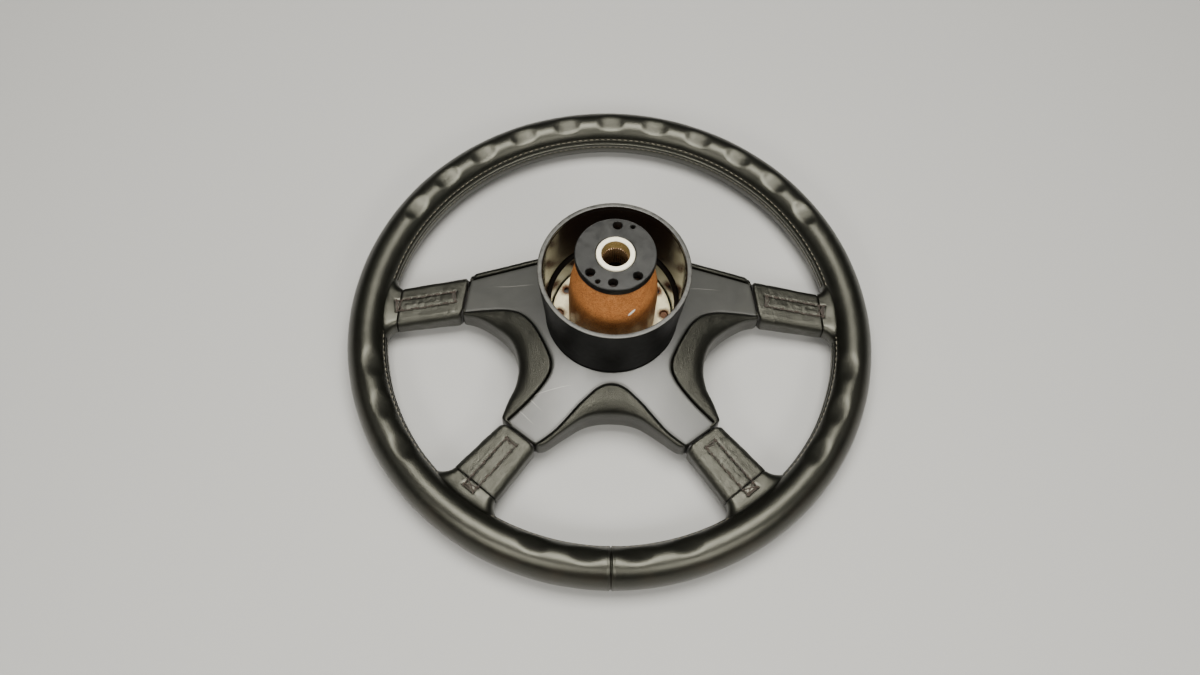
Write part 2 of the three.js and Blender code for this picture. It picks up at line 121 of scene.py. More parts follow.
def soften(profile, radii, n=4):
    """closed or open profile with its corners rounded; radii by index, 0 for none"""
    out = []
    m = len(profile)
    for i, p in enumerate(profile):
        r = radii.get(i, 0) if isinstance(radii, dict) else radii
        a, b, c = np.array(profile[i - 1], float), np.array(p, float), np.array(profile[(i + 1) % m], float)
        if r <= 0:
            out.append(tuple(b))
            continue
        u, v = a - b, c - b
        lu, lv = np.linalg.norm(u), np.linalg.norm(v)
        u, v = u / lu, v / lv
        d = min(r, 0.45 * lu, 0.45 * lv)
        for k in range(n + 1):
            t = k / n
            out.append(tuple(b + u * d * (1 - t) ** 2 + v * d * t ** 2))
    return out


def lathe(name, profile, mat, segs=128, wobble=None, **kw):
    """closed profile of (r, z), turned round Z"""
    m = len(profile)
    verts = []
    for i in range(segs):
        a = TAU * i / segs
        for r, z in profile:
            verts.append((r * math.cos(a), r * math.sin(a), z))
    area = sum(profile[i][0] * profile[(i + 1) % m][1] - profile[(i + 1) % m][0] * profile[i][1] for i in range(m))
    faces = grid_faces(segs, m, flip=area < 0)
    return make(name, verts, faces, mat, **kw)


def tube_into(verts, faces, pts, radius, sides=6, closed=False):
    """adds a tube along points to a mesh under construction; radius may be a list"""
    pts = [np.array(p, float) for p in pts]
    n = len(pts)
    rad = radius if isinstance(radius, (list, tuple, np.ndarray)) else [radius] * n
    base = len(verts)
    prev = None
    for i in range(n):
        if closed:
            t = pts[(i + 1) % n] - pts[i - 1]
        else:
            t = pts[min(n - 1, i + 1)] - pts[max(0, i - 1)]
        t = t / (np.linalg.norm(t) + 1e-12)
        if prev is None:
            ref = np.array([0, 0, 1.0]) if abs(t[2]) < 0.9 else np.array([1.0, 0, 0])
            u = np.cross(t, ref)
        else:
            u = prev - t * np.dot(prev, t)
        u = u / (np.linalg.norm(u) + 1e-12)
        prev = u
        v = np.cross(t, u)
        for k in range(sides):
            a = TAU * k / sides
            verts.append(tuple(pts[i] + (u * math.cos(a) + v * math.sin(a)) * rad[i]))
    for i in range(n if closed else n - 1):
        i2 = (i + 1) % n
        for k in range(sides):
            k2 = (k + 1) % sides
            faces.append((base + i * sides + k, base + i * sides + k2, base + i2 * sides + k2, base + i2 * sides + k))
    if not closed:
        faces.append(tuple(base + k for k in range(sides))[::-1])
        faces.append(tuple(base + (n - 1) * sides + k for k in range(sides)))


# ------------------------------------------------------------------------------ materials
class Mat:
    def __init__(self, name, color=(0.5, 0.5, 0.5), rough=0.5, metal=0.0, **sockets):
        self.m = bpy.data.materials.new(name)
        self.m.use_nodes = True
        self.t = self.m.node_tree
        self.t.nodes.clear()
        self.out = self.t.nodes.new("ShaderNodeOutputMaterial")
        self.b = self.t.nodes.new("ShaderNodeBsdfPrincipled")
        self.t.links.new(self.b.outputs[0], self.out.inputs[0])
        self.co = self.t.nodes.new("ShaderNodeTexCoord").outputs["Object"]
        self.b.inputs["Base Color"].default_value = (*color, 1)
        self.b.inputs["Roughness"].default_value = rough
        self.b.inputs["Metallic"].default_value = metal
        for k, v in sockets.items():
            self.b.inputs[k.replace("_", " ")].default_value = v

    def link(self, a, b):
        if isinstance(a, (int, float)):
            b.default_value = a
        elif isinstance(a, (tuple, list)):
            b.default_value = (*a, 1) if len(a) == 3 and b.type == "RGBA" else a
        else:
            self.t.links.new(a, b)

    def mapped(self, scale=(1, 1, 1), rot=(0, 0, 0), loc=(0, 0, 0), vec=None):
        n = self.t.nodes.new("ShaderNodeMapping")
        n.inputs["Scale"].default_value = scale
        n.inputs["Rotation"].default_value = rot
        n.inputs["Location"].default_value = loc
        self.t.links.new(vec or self.co, n.inputs["Vector"])
        return n.outputs[0]

    def noise(self, mm, detail=3, rough=0.55, distort=0.0, vec=None):
        n = self.t.nodes.new("ShaderNodeTexNoise")
        n.inputs["Scale"].default_value = 1000.0 / mm
        n.inputs["Detail"].default_value = detail
        n.inputs["Roughness"].default_value = rough
        n.inputs["Distortion"].default_value = distort
        self.t.links.new(vec or self.co, n.inputs["Vector"])
        return n.outputs["Fac"]

    def voronoi(self, mm, feature="F1", rand=1.0, vec=None, out="Distance"):
        n = self.t.nodes.new("ShaderNodeTexVoronoi")
        n.feature = feature
        n.inputs["Scale"].default_value = 1000.0 / mm
        n.inputs["Randomness"].default_value = rand
        self.t.links.new(vec or self.co, n.inputs["Vector"])
        return n.outputs[out]

    def ramp(self, fac, stops, interp="LINEAR"):
        n = self.t.nodes.new("ShaderNodeValToRGB")
        n.color_ramp.interpolation = interp
        while len(n.color_ramp.elements) < len(stops):
            n.color_ramp.elements.new(0.5)
        for e, (p, c) in zip(n.color_ramp.elements, stops):
            e.position = p
            e.color = (c, c, c, 1) if isinstance(c, (int, float)) else (*c, 1)
        self.link(fac, n.inputs[0])
        return n.outputs[0]

    def math(self, op, a, b=0.0, c=0.0, clamp=False):
        n = self.t.nodes.new("ShaderNodeMath")
        n.operation = op
        n.use_clamp = clamp
        self.link(a, n.inputs[0])
        self.link(b, n.inputs[1])
        if op in ("MULTIPLY_ADD", "COMPARE", "SMOOTH_MIN", "SMOOTH_MAX"):
            self.link(c, n.inputs[2])
        return n.outputs[0]

    def mix(self, fac, a, b, mode="MIX"):
        n = self.t.nodes.new("ShaderNodeMix")
        n.data_type = "RGBA"
        n.blend_type = mode
        n.clamp_factor = True
        self.link(fac, n.inputs[0])
        self.link(a, n.inputs[6])
        self.link(b, n.inputs[7])
        return n.outputs[2]

    def sep(self, vec=None):
        n = self.t.nodes.new("ShaderNodeSeparateXYZ")
        self.t.links.new(vec or self.co, n.inputs[0])
        return n.outputs

    def radius(self, x0=0.0, y0=0.0):
        s = self.sep()
        x, y = self.math("SUBTRACT", s[0], x0 / 1000), self.math("SUBTRACT", s[1], y0 / 1000)
        return self.math("SQRT", self.math("ADD", self.math("MULTIPLY", x, x), self.math("MULTIPLY", y, y)))

    def bump(self, height, mm, strength=1.0, normal=None):
        n = self.t.nodes.new("ShaderNodeBump")
        n.inputs["Strength"].default_value = strength
        n.inputs["Distance"].default_value = mm / 1000.0
        self.link(height, n.inputs["Height"])
        if normal is not None:
            self.t.links.new(normal, n.inputs["Normal"])
        return n.outputs[0]

    def edge_wear(self):
        g = self.t.nodes.new("ShaderNodeNewGeometry")
        return g.outputs["Pointiness"]

    def set(self, name, val):
        self.link(val, self.b.inputs[name])


def leather(name, base, grain=0.8, depth=0.05, rough=(0.36, 0.50), wear=None, creases=0.0, sheen=0.0, spec=0.5, swell=0.3):
    m = Mat(name, base, 0.45, Specular_IOR_Level=spec, Specular_Tint=(0.98, 0.975, 0.82, 1.0), IOR=1.5)
    warp = m.noise(6, 2)
    cells = m.voronoi(grain, "DISTANCE_TO_EDGE")
    fine = m.voronoi(grain * 0.45, "SMOOTH_F1")
    pebble = m.ramp(cells, [(0.0, 0.0), (0.18, 0.75), (0.6, 1.0)])
    h = m.math("MULTIPLY_ADD", fine, -0.35, pebble)
    h = m.math("MULTIPLY_ADD", m.noise(grain * 0.3, 2), 0.3, h)
    n1 = m.bump(h, depth, 0.7)
    big = m.noise(14, 3, 0.6, 0.4)
    n2 = m.bump(m.math("MULTIPLY_ADD", big, 1.0, m.math("MULTIPLY", warp, 0.3)), swell, 0.35, n1)
    if creases:
        cv = m.voronoi(7.5, "DISTANCE_TO_EDGE", vec=m.mapped((1, 1, 1)))
        cr = m.ramp(m.math("ADD", cv, m.math("MULTIPLY", m.noise(2.5, 3), 0.12)), [(0.05, 0.0), (0.14, 1.0)])
        n2 = m.bump(cr, 0.08 * creases, 0.5, n2)
    m.set("Normal", n2)
    blotch = m.noise(22, 4, 0.62)
    dark = tuple(c * 0.62 for c in base)
    light = tuple(c * 1.5 for c in base)
    col = m.mix(m.ramp(blotch, [(0.3, 0.0), (0.72, 1.0)]), dark, light)
    col = m.mix(m.ramp(pebble, [(0.0, 1.0), (0.6, 0.0)]), col, tuple(c * 0.35 for c in base))
    if wear is not None:
        col = wear(m, col)
    m.set("Base Color", col)
    r = m.ramp(m.math("MULTIPLY_ADD", m.noise(9, 4, 0.65), 0.8, m.math("MULTIPLY", cells, 0.25)), [(0.25, rough[0]), (0.75, rough[1])])
    m.set("Roughness", r)
    return m.m


def rim_wear(m, col):
    s = m.sep()
    rad = m.radius()
    outer = m.ramp(m.math("SUBTRACT", rad, 0.0), [(0.1790, 0.0), (0.1885, 1.0)])
    low = m.ramp(m.math("MULTIPLY_ADD", s[1], -2.2, 0.42), [(0.35, 0.0), (0.8, 1.0)])
    patch = m.ramp(m.noise(26, 5, 0.65, 0.6), [(0.42, 0.0), (0.68, 1.0)])
    f = m.math("MULTIPLY", m.math("MULTIPLY", outer, low), m.math("MULTIPLY", patch, 0.12))
    col = m.mix(f, col, (0.075, 0.042, 0.024))
    scuff = m.ramp(m.noise(3.2, 6, 0.75, 1.0), [(0.66, 0.0), (0.74, 1.0)])
    return m.mix(m.math("MULTIPLY", scuff, m.math("MULTIPLY", outer, 0.25)), col, (0.10, 0.085, 0.065))


M_RIM = leather("leather_rim", (0.0030, 0.0031, 0.0024), grain=0.9, depth=0.045, rough=(0.29, 0.37), wear=rim_wear, sheen=0.0, spec=0.60, swell=0.10)
M_SLEEVE = leather("leather_sleeve", (0.0055, 0.0055, 0.0045), grain=1.25, depth=0.12, rough=(0.31, 0.45), creases=1.0, sheen=0.0, spec=0.54, swell=0.25)
M_PAD = leather("pad_skin", (0.0048, 0.0048, 0.0040), grain=1.1, depth=0.10, rough=(0.30, 0.42), sheen=0.0, spec=0.40, swell=0.2)


def plastic_cover():
    m = Mat("cover_plastic", (0.03, 0.03, 0.03), 0.4, Specular_IOR_Level=0.8, IOR=1.62)
    fine = m.noise(0.5, 3, 0.6)
    n1 = m.bump(m.voronoi(0.55, "SMOOTH_F1"), 0.022, 0.55)
    n1 = m.bump(m.noise(18, 2), 0.25, 0.25, n1)
    # long thin curved scratches, most of them on the lower left arm: arcs about far centres, fading out at both ends
    scr = 0.0
    wander = m.math("MULTIPLY", m.math("SUBTRACT", m.noise(16, 2, 0.5), 0.5), 0.0011)
    for x0, y0, r0, gx, gy, gr, amt in ((-150, 20, 118, -52, -48, 17, 0.9), (-10, -190, 137, -47, -60, 15, 0.8), (70, 60, 176, -60, -60, 14, 0.7), (-140, -160, 118, -58, -73, 9, 0.6),
                                        (-20, -150, 96, -36, -56, 9, 0.55), (150, -150, 118, 50, -66, 10, 0.5), (-60, 190, 166, -70, 24, 13, 0.4), (80, -140, 164, 66, 24, 12, 0.35)):
        line = m.ramp(m.math("MULTIPLY", m.math("ABSOLUTE", m.math("ADD", m.math("SUBTRACT", m.radius(x0, y0), r0 / 1000), wander)), 1000), [(0.07, 1.0), (0.32, 0.0)])
        gate = m.ramp(m.math("MULTIPLY", m.math("ADD", m.radius(gx, gy), m.math("MULTIPLY", m.noise(9, 2), 0.006)), 1000.0 / 60.0), [(gr * 0.75 / 60, amt), (gr * 1.45 / 60, 0.0)])
        one = m.math("MULTIPLY", line, gate)
        scr = m.math("MAXIMUM", scr, one) if not isinstance(scr, float) else one
    dust = m.ramp(m.noise(30, 5, 0.7, 0.5), [(0.45, 0.0), (0.75, 1.0)])
    col = m.mix(m.math("MULTIPLY", dust, 0.5), (0.029, 0.0295, 0.0264), (0.046, 0.0465, 0.041))
    col = m.mix(m.math("MULTIPLY", scr, 0.75), col, (0.30, 0.29, 0.27))
    speck = m.ramp(m.voronoi(5.5, "F1"), [(0.035, 1.0), (0.06, 0.0)])
    col = m.mix(m.math("MULTIPLY", speck, 0.25), col, (0.11, 0.105, 0.09))
    m.set("Base Color", col)
    r = m.math("MULTIPLY_ADD", m.noise(12, 4, 0.6), 0.13, m.math("MULTIPLY_ADD", fine, 0.06, 0.285))
    m.set("Roughness", m.math("ADD", r, m.math("MULTIPLY", scr, 0.12)))
    m.set("Normal", m.bump(scr, -0.02, 0.4, n1))
    return m.m


def collar_outer():
    m = Mat("collar_matt", (0.003, 0.003, 0.003), 0.5, Specular_IOR_Level=0.10)
    m.set("Normal", m.bump(m.voronoi(0.5, "SMOOTH_F1"), 0.018, 0.5, m.bump(m.noise(20, 2), 0.15, 0.2)))
    dust = m.ramp(m.noise(8, 5, 0.7, 0.4), [(0.5, 0.0), (0.8, 1.0)])
    m.set("Base Color", m.mix(m.math("MULTIPLY", dust, 0.5), (0.0016, 0.0016, 0.0016), (0.0045, 0.0044, 0.0040)))
    m.set("Roughness", m.math("MULTIPLY_ADD", m.noise(5, 4), 0.15, 0.40))
    return m.m


def collar_inner():
    m = Mat("collar_gloss", (0.006, 0.006, 0.006), 0.12, Specular_IOR_Level=0.34)
    smear = m.ramp(m.noise(9, 5, 0.65, 0.8), [(0.35, 0.0), (0.8, 1.0)])
    m.set("Base Color", m.mix(m.math("MULTIPLY", smear, 0.6), (0.0035, 0.0035, 0.0035), (0.008, 0.0072, 0.006)))
    m.set("Roughness", m.math("MULTIPLY_ADD", smear, 0.10, m.math("MULTIPLY_ADD", m.noise(1.2, 3), 0.05, 0.08)))
    m.set("Normal", m.bump(m.noise(7, 3), 0.08, 0.25, m.bump(m.noise(0.7, 2), 0.006, 0.4)))
    return m.m


def collar_edge():
    m = Mat("collar_edge", (0.05, 0.05, 0.048), 0.4)
    w = m.ramp(m.noise(3, 5, 0.7), [(0.35, 0.0), (0.7, 1.0)])
    m.set("Base Color", m.mix(w, (0.022, 0.022, 0.020), (0.072, 0.071, 0.064)))
    m.set("Roughness", m.math("MULTIPLY_ADD", w, 0.15, 0.32))
    m.set("Normal", m.bump(m.noise(0.9, 4), 0.02, 0.4))
    return m.m


def disc_plastic():
    m = Mat("disc_plastic", (0.028, 0.029, 0.028), 0.36, Specular_IOR_Level=0.36)
    turn = m.noise(0.5, 2, 0.5, 0.0, m.mapped((1, 1, 1)))
    rings = m.t.nodes.new("ShaderNodeTexWave")
    rings.wave_type, rings.rings_direction = "RINGS", "Z"
    rings.inputs["Scale"].default_value = 420
    rings.inputs["Distortion"].default_value = 1.2
    rings.inputs["Detail"].default_value = 2
    m.t.links.new(m.co, rings.inputs["Vector"])
    haze = m.ramp(m.noise(7, 5, 0.7, 0.6), [(0.35, 0.0), (0.75, 1.0)])
    m.set("Base Color", m.mix(haze, (0.0065, 0.0068, 0.0065), (0.015, 0.0154, 0.0142)))
    m.set("Roughness", m.math("MULTIPLY_ADD", haze, 0.14, m.math("MULTIPLY_ADD", turn, 0.06, 0.26)))
    m.set("Normal", m.bump(rings.outputs["Fac"], 0.006, 0.35, m.bump(m.noise(1.2, 4), 0.012, 0.4)))
    return m.m


def steel(name, base=(0.62, 0.61, 0.58), rough=(0.2, 0.4), grain_mm=0.25, stretch=(1, 1, 1), stain=None, stain_amt=0.4, metal=1.0):
    m = Mat(name, base, 0.3, metal)
    g = m.noise(grain_mm, 3, 0.6, 0, m.mapped(stretch))
    blot = m.ramp(m.noise(5, 5, 0.7, 0.5), [(0.35, 0.0), (0.75, 1.0)])
    col = m.mix(m.math("MULTIPLY", blot, 0.35), base, tuple(c * 0.72 for c in base))
    if stain is not None:
        s = m.ramp(m.noise(3.6, 6, 0.75, 0.8), [(0.5, 0.0), (0.68, 1.0)])
        col = m.mix(m.math("MULTIPLY", s, stain_amt), col, stain)
        m.set("Metallic", m.math("SUBTRACT", metal, m.math("MULTIPLY", s, stain_amt * 0.8)))
    m.set("Base Color", col)
    m.set("Roughness", m.ramp(m.math("MULTIPLY_ADD", blot, 0.5, m.math("MULTIPLY", g, 0.5)), [(0.2, rough[0]), (0.8, rough[1])]))
    m.set("Normal", m.bump(g, 0.008, 0.5))
    return m.m


def bell_coat():
    m = Mat("bell_coat", (0.32, 0.12, 0.035), 0.45, 0.0, Specular_IOR_Level=0.26)
    sp = m.noise(0.9, 6, 0.8)
    mid = m.noise(4.5, 5, 0.7, 0.5)
    z = m.sep()[2]
    low = m.ramp(z, [(0.046, 1.0), (0.075, 0.0)])
    col = m.mix(m.ramp(sp, [(0.38, 0.0), (0.62, 1.0)]), (0.22, 0.070, 0.018), (0.58, 0.235, 0.072))
    col = m.mix(m.ramp(mid, [(0.45, 0.0), (0.75, 0.55)]), col, (0.64, 0.29, 0.10))
    grime = m.ramp(m.noise(1.7, 6, 0.8, 0.4), [(0.55, 0.0), (0.70, 1.0)])
    col = m.mix(m.math("MULTIPLY", grime, 0.55), col, (0.06, 0.022, 0.010))
    # painted shade: the bell is darkened towards its foot, where the collar shades it
    col = m.mix(m.math("MULTIPLY", low, 0.35), col, (0.14, 0.050, 0.018))
    # bare chip on the wall facing the lower right: a real chip (recess, lower roughness), but its near-white colour is
    # a painted glint
    ang = math.radians(-66)
    cx, cy, cz = 28.6 * math.cos(ang), 28.6 * math.sin(ang), 97.0
    s = m.sep(m.mapped((1, 1, 1), (0, 0, 0), (-cx / 1000, -cy / 1000, -cz / 1000)))
    tang = m.math("ADD", m.math("MULTIPLY", s[0], -math.sin(ang)), m.math("MULTIPLY", s[1], math.cos(ang)))
    rad_ = m.math("ADD", m.math("MULTIPLY", s[0], math.cos(ang)), m.math("MULTIPLY", s[1], math.sin(ang)))
    p = m.math("ADD", m.math("MULTIPLY", tang, 0.80), m.math("MULTIPLY", s[2], 0.60))
    q = m.math("ADD", m.math("MULTIPLY", tang, -0.60), m.math("MULTIPLY", s[2], 0.80))
    wob = m.math("MULTIPLY", m.math("SUBTRACT", m.noise(2.2, 4, 0.7), 0.5), 0.9)
    d2 = m.math("ADD", m.math("POWER", m.math("DIVIDE", p, 0.0034), 2.0), m.math("POWER", m.math("DIVIDE", q, 0.0012), 2.0))
    chip_and_glint = m.ramp(m.math("ADD", m.math("ADD", d2, wob), m.math("MULTIPLY", m.math("POWER", m.math("DIVIDE", rad_, 0.006), 2.0), 1.0)), [(0.75, 1.0), (0.95, 0.0)])
    col = m.mix(chip_and_glint, col, (0.97, 0.94, 0.86))
    # painted shade: a darker band at z 50 to 64 mm that stands in for the curve of the bell's lower wall
    painted_shade_band = m.math("MULTIPLY", m.ramp(z, [(0.050, 0.0), (0.0535, 1.0), (0.058, 1.0), (0.064, 0.0)]), 0.45)
    col = m.mix(painted_shade_band, col, (0.20, 0.075, 0.025))
    # painted shade under the contact disc: the bell's shoulder above z 113.5 mm is darkened
    col = m.mix(m.ramp(z, [(0.1135, 0.0), (0.1150, 0.95)]), col, (0.012, 0.008, 0.006))
    # painted shade: the bell's far (+y) side, away from the front lights, is darkened
    col = m.mix(m.ramp(m.sep()[1], [(0.006, 0.0), (0.026, 0.62)]), col, (0.07, 0.028, 0.012))
    m.set("Metallic", m.math("MULTIPLY", chip_and_glint, 0.10))
    m.set("Base Color", col)
    m.set("Roughness", m.math("SUBTRACT", m.math("MULTIPLY_ADD", mid, 0.22, 0.34), m.math("MULTIPLY", chip_and_glint, 0.15)))
    m.set("Normal", m.bump(m.math("MULTIPLY_ADD", sp, 1.0, m.math("MULTIPLY", chip_and_glint, -1.2)), 0.05, 0.55))
    return m.m


def flange_coat():
    m = Mat("flange_coat", (0.80, 0.75, 0.58), 0.32, 0.15)
    blot = m.noise(4, 6, 0.75, 0.5)
    col = m.mix(m.ramp(blot, [(0.35, 0.0), (0.7, 1.0)]), (0.98, 0.90, 0.60), (0.84, 0.74, 0.42))
    # rust spreads from the twelve holes
    s = m.sep()
    ang = m.math("ARCTAN2", s[1], s[0])
    saw = m.math("SUBTRACT", m.math("FRACT", m.math("ADD", m.math("DIVIDE", ang, TAU / 12), 0.5)), 0.5)
    arc = m.math("MULTIPLY", saw, TAU / 12 * 0.037)
    dr = m.math("SUBTRACT", m.radius(), 0.037)
    d = m.math("SQRT", m.math("ADD", m.math("MULTIPLY", arc, arc), m.math("MULTIPLY", dr, dr)))
    d = m.math("ADD", d, m.math("MULTIPLY", m.math("SUBTRACT", m.noise(2.2, 5, 0.75), 0.5), 0.0035))
    rust = m.ramp(m.math("MULTIPLY", d, 100), [(0.30, 1.0), (0.58, 0.0)])
    col = m.mix(rust, col, (0.13, 0.050, 0.018))
    inner = m.ramp(m.radius(), [(0.0300, 1.0), (0.0325, 0.0)])
    col = m.mix(m.math("MULTIPLY", inner, 0.8), col, (0.12, 0.05, 0.02))
    speck = m.ramp(m.noise(0.9, 4, 0.8), [(0.64, 0.0), (0.70, 1.0)])
    col = m.mix(m.math("MULTIPLY", speck, 0.8), col, (0.07, 0.035, 0.018))
    m.set("Base Color", col)
    m.set("Metallic", m.math("MULTIPLY_ADD", rust, -0.15, 0.15))
    m.set("Roughness", m.math("MULTIPLY_ADD", rust, 0.4, m.math("MULTIPLY_ADD", blot, 0.2, 0.22)))
    m.set("Normal", m.bump(m.math("ADD", rust, m.noise(0.8, 5, 0.75)), 0.06, 0.6))
    return m.m


def rusty():
    m = Mat("bolt_rust", (0.16, 0.07, 0.03), 0.7, 0.4)
    n = m.noise(1.0, 6, 0.8, 0.4)
    m.set("Base Color", m.ramp(n, [(0.35, (0.045, 0.022, 0.012)), (0.52, (0.17, 0.068, 0.025)), (0.7, (0.30, 0.20, 0.13))]))
    m.set("Metallic", m.ramp(n, [(0.5, 0.1), (0.75, 0.7)]))
    m.set("Roughness", m.ramp(n, [(0.3, 0.85), (0.75, 0.42)]))
    m.set("Normal", m.bump(n, 0.12, 0.7))
    return m.m


def thread(name, base, light):
    m = Mat(name, base, 0.75, Sheen_Weight=0.25, Sheen_Roughness=0.4)
    tw = m.noise(0.30, 2, 0.5, 0.0, m.mapped((1, 1, 1), (0.5, 0.6, 0.3)))
    dirt = m.noise(7, 4, 0.65)
    col = m.mix(m.ramp(tw, [(0.35, 0.0), (0.65, 1.0)]), base, light)
    col = m.mix(m.ramp(dirt, [(0.45, 0.0), (0.75, 0.7)]), col, tuple(c * 0.35 for c in base))
    m.set("Base Color", col)
    m.set("Roughness", m.math("MULTIPLY_ADD", tw, 0.2, 0.62))
    m.set("Normal", m.bump(tw, 0.06, 0.8))
    return m.m


def moulded(name, base, rough=0.45, grain=0.6):
    m = Mat(name, base, rough)
    b = m.noise(9, 4, 0.6)
    m.set("Base Color", m.mix(b, tuple(c * 0.75 for c in base), tuple(c * 1.3 for c in base)))
    m.set("Roughness", m.math("MULTIPLY_ADD", b, 0.16, rough - 0.08))
    m.set("Normal", m.bump(m.voronoi(grain, "SMOOTH_F1"), 0.03, 0.5))
    return m.m


def brass():
    m = Mat("contact_brass", (0.60, 0.43, 0.17), 0.3, 1.0)
    b = m.ramp(m.noise(3, 5, 0.7, 0.4), [(0.35, 0.0), (0.75, 1.0)])
    m.set("Base Color", m.mix(b, (0.62, 0.45, 0.18), (0.34, 0.22, 0.10)))
    m.set("Roughness", m.math("MULTIPLY_ADD", b, 0.25, 0.22))
    m.set("Normal", m.bump(m.noise(0.4, 3), 0.01, 0.5))
    return m.m


def foam_mat():
    m = Mat("foam", (0.05, 0.05, 0.048), 0.9)
    v = m.voronoi(0.6, "F1")
    m.set("Base Color", m.mix(v, (0.035, 0.035, 0.034), (0.075, 0.073, 0.07)))
    m.set("Roughness", m.math("MULTIPLY_ADD", v, 0.1, 0.82))
    m.set("Normal", m.bump(v, 0.15, 0.7))
    return m.m


M_COVER = plastic_cover()
M_COLLAR, M_COLLAR_IN, M_COLLAR_EDGE = collar_outer(), collar_inner(), collar_edge()
M_DISC = disc_plastic()
M_SLEEVE_FACE = steel("sleeve_face", (0.86, 0.81, 0.64), (0.26, 0.40), 0.3, (1, 1, 1), (0.40, 0.26, 0.12), 0.16, metal=0.35)
M_SLEEVE_BORE = steel("sleeve_bore", (0.42, 0.30, 0.11), (0.22, 0.42), 0.3, (1, 1, 0.2), (0.16, 0.07, 0.03), 0.55, metal=0.35)
M_SPLINE = steel("sleeve_splines", (0.26, 0.16, 0.08), (0.22, 0.40), 0.3, (1, 1, 0.2), (0.07, 0.035, 0.02), 0.7, metal=0.5)
M_BELL, M_FLANGE, M_BOLT = bell_coat(), flange_coat(), rusty()
M_THREAD = thread("rim_thread", (0.10, 0.088, 0.062), (0.21, 0.19, 0.14))
M_LACE = thread("lace_thread", (0.012, 0.0075, 0.005), (0.040, 0.024, 0.014))
# painted shade: the spider's near-black colour darkens the groove where it shows between sleeves and cover
M_SPIDER = steel("spider_steel", (0.022, 0.022, 0.021), (0.40, 0.60), 0.6, (1, 1, 1), (0.10, 0.045, 0.02), 0.45, metal=0.25)
M_CORE = steel("rim_steel", (0.45, 0.44, 0.42), (0.3, 0.5), 0.5)
M_SPRING = steel("spring_steel", (0.58, 0.57, 0.55), (0.2, 0.36), 0.3)
M_HORN = moulded("button_plastic", (0.014, 0.014, 0.0145), 0.42, 0.55)
M_BEZEL = moulded("bezel_plastic", (0.018, 0.018, 0.019), 0.28, 1.2)
M_HOUSING = moulded("housing_plastic", (0.055, 0.055, 0.05), 0.5, 0.8)
M_BOARD = moulded("insulator_board", (0.20, 0.14, 0.075), 0.6, 0.4)
M_BRASS, M_FOAM = brass(), foam_mat()

# ------------------------------------------------------------------------------ rim
SPOKE_GEO = {}
for tag, kind, sd in SIDES:
    sp = SPOKES[kind]
    a, b, c, d = [np.array([sd * sp[k][0], sp[k][1]], float) for k in "abcd"]
    A, B = (a + b) / 2, (c + d) / 2
    ln = float(np.linalg.norm(B - A))
    SPOKE_GEO[tag] = dict(a=a, b=b, c=c, d=d, A=A, B=B, len=ln, dir=(B - A) / ln, side=sd, kind=kind,
                          ang=math.degrees(math.atan2(B[1] + 0.1 * (B - A)[1], B[0] + 0.1 * (B - A)[0])), w=float(np.linalg.norm(c - d)) / 2)


def rim_point(th, ph, inset=0.0, detail=True):
    """point on the rim's skin, mm; th and ph in degrees"""
    a = math.radians(ph)
    ca, sa = math.cos(a), math.sin(a)
    nx, nz = ca / RIM_W, sa / RIM_H
    nl = math.hypot(nx, nz)
    nx, nz = nx / nl, nz / nl
    dsp = -inset
    r0, z0 = RIM_R + RIM_W * ca, RIM_Z + RIM_H * sa
    # finger scoops on the inner rear shoulder
    for sc in SCOOPS:
        dth = (th - sc + 180) % 360 - 180
        if abs(dth) > 6.5:
            continue
        u = math.radians(dth) * RIM_R
        v = (ph - (99.0 if math.sin(math.radians(sc)) > 0.5 else 111.0)) * 0.29
        top = math.sin(math.radians(sc)) > 0.5
        f = (1.75 if top else 1.45) * (1 - (abs(u) / 10.4) ** (2.9 if top else 2.3)) - v * v / (35.0 if top else 46.0)
        k = 0.34 if top else 0.5
        if f > -2.4:
            dsp -= k * math.log1p(math.exp(f / k))
    if detail:
        # inner seam with its raised lips, and the two sewn rows
        arc = (ph - SEAM_DEG) * 0.262
        dsp += -0.95 * math.exp(-(arc / 0.42) ** 2) + 0.22 * math.exp(-((abs(arc) - 1.5) / 0.9) ** 2)
        for row in ROWS_DEG:
            dsp -= 0.28 * math.exp(-(((ph - row) * 0.262) / 0.7) ** 2)
        # butt seam at six o'clock
        s = math.radians((th + 90 + 180) % 360 - 180) * RIM_R
        if abs(s) < 6:
            dsp += -1.0 * math.exp(-(s / 0.5) ** 2) + 0.22 * math.exp(-((abs(s) - 1.5) / 0.9) ** 2)
    r, z = r0 + nx * dsp, z0 + nz * dsp
    t = math.radians(th)
    p = (r * math.cos(t), r * math.sin(t), z)
    if detail:
        k = 0.14 * bumpy(p, 22, 3.1) + 0.03 * bumpy(p, 8, 1.7)
        r, z = r + nx * k, z + nz * k
        p = (r * math.cos(t), r * math.sin(t), z)
    return p


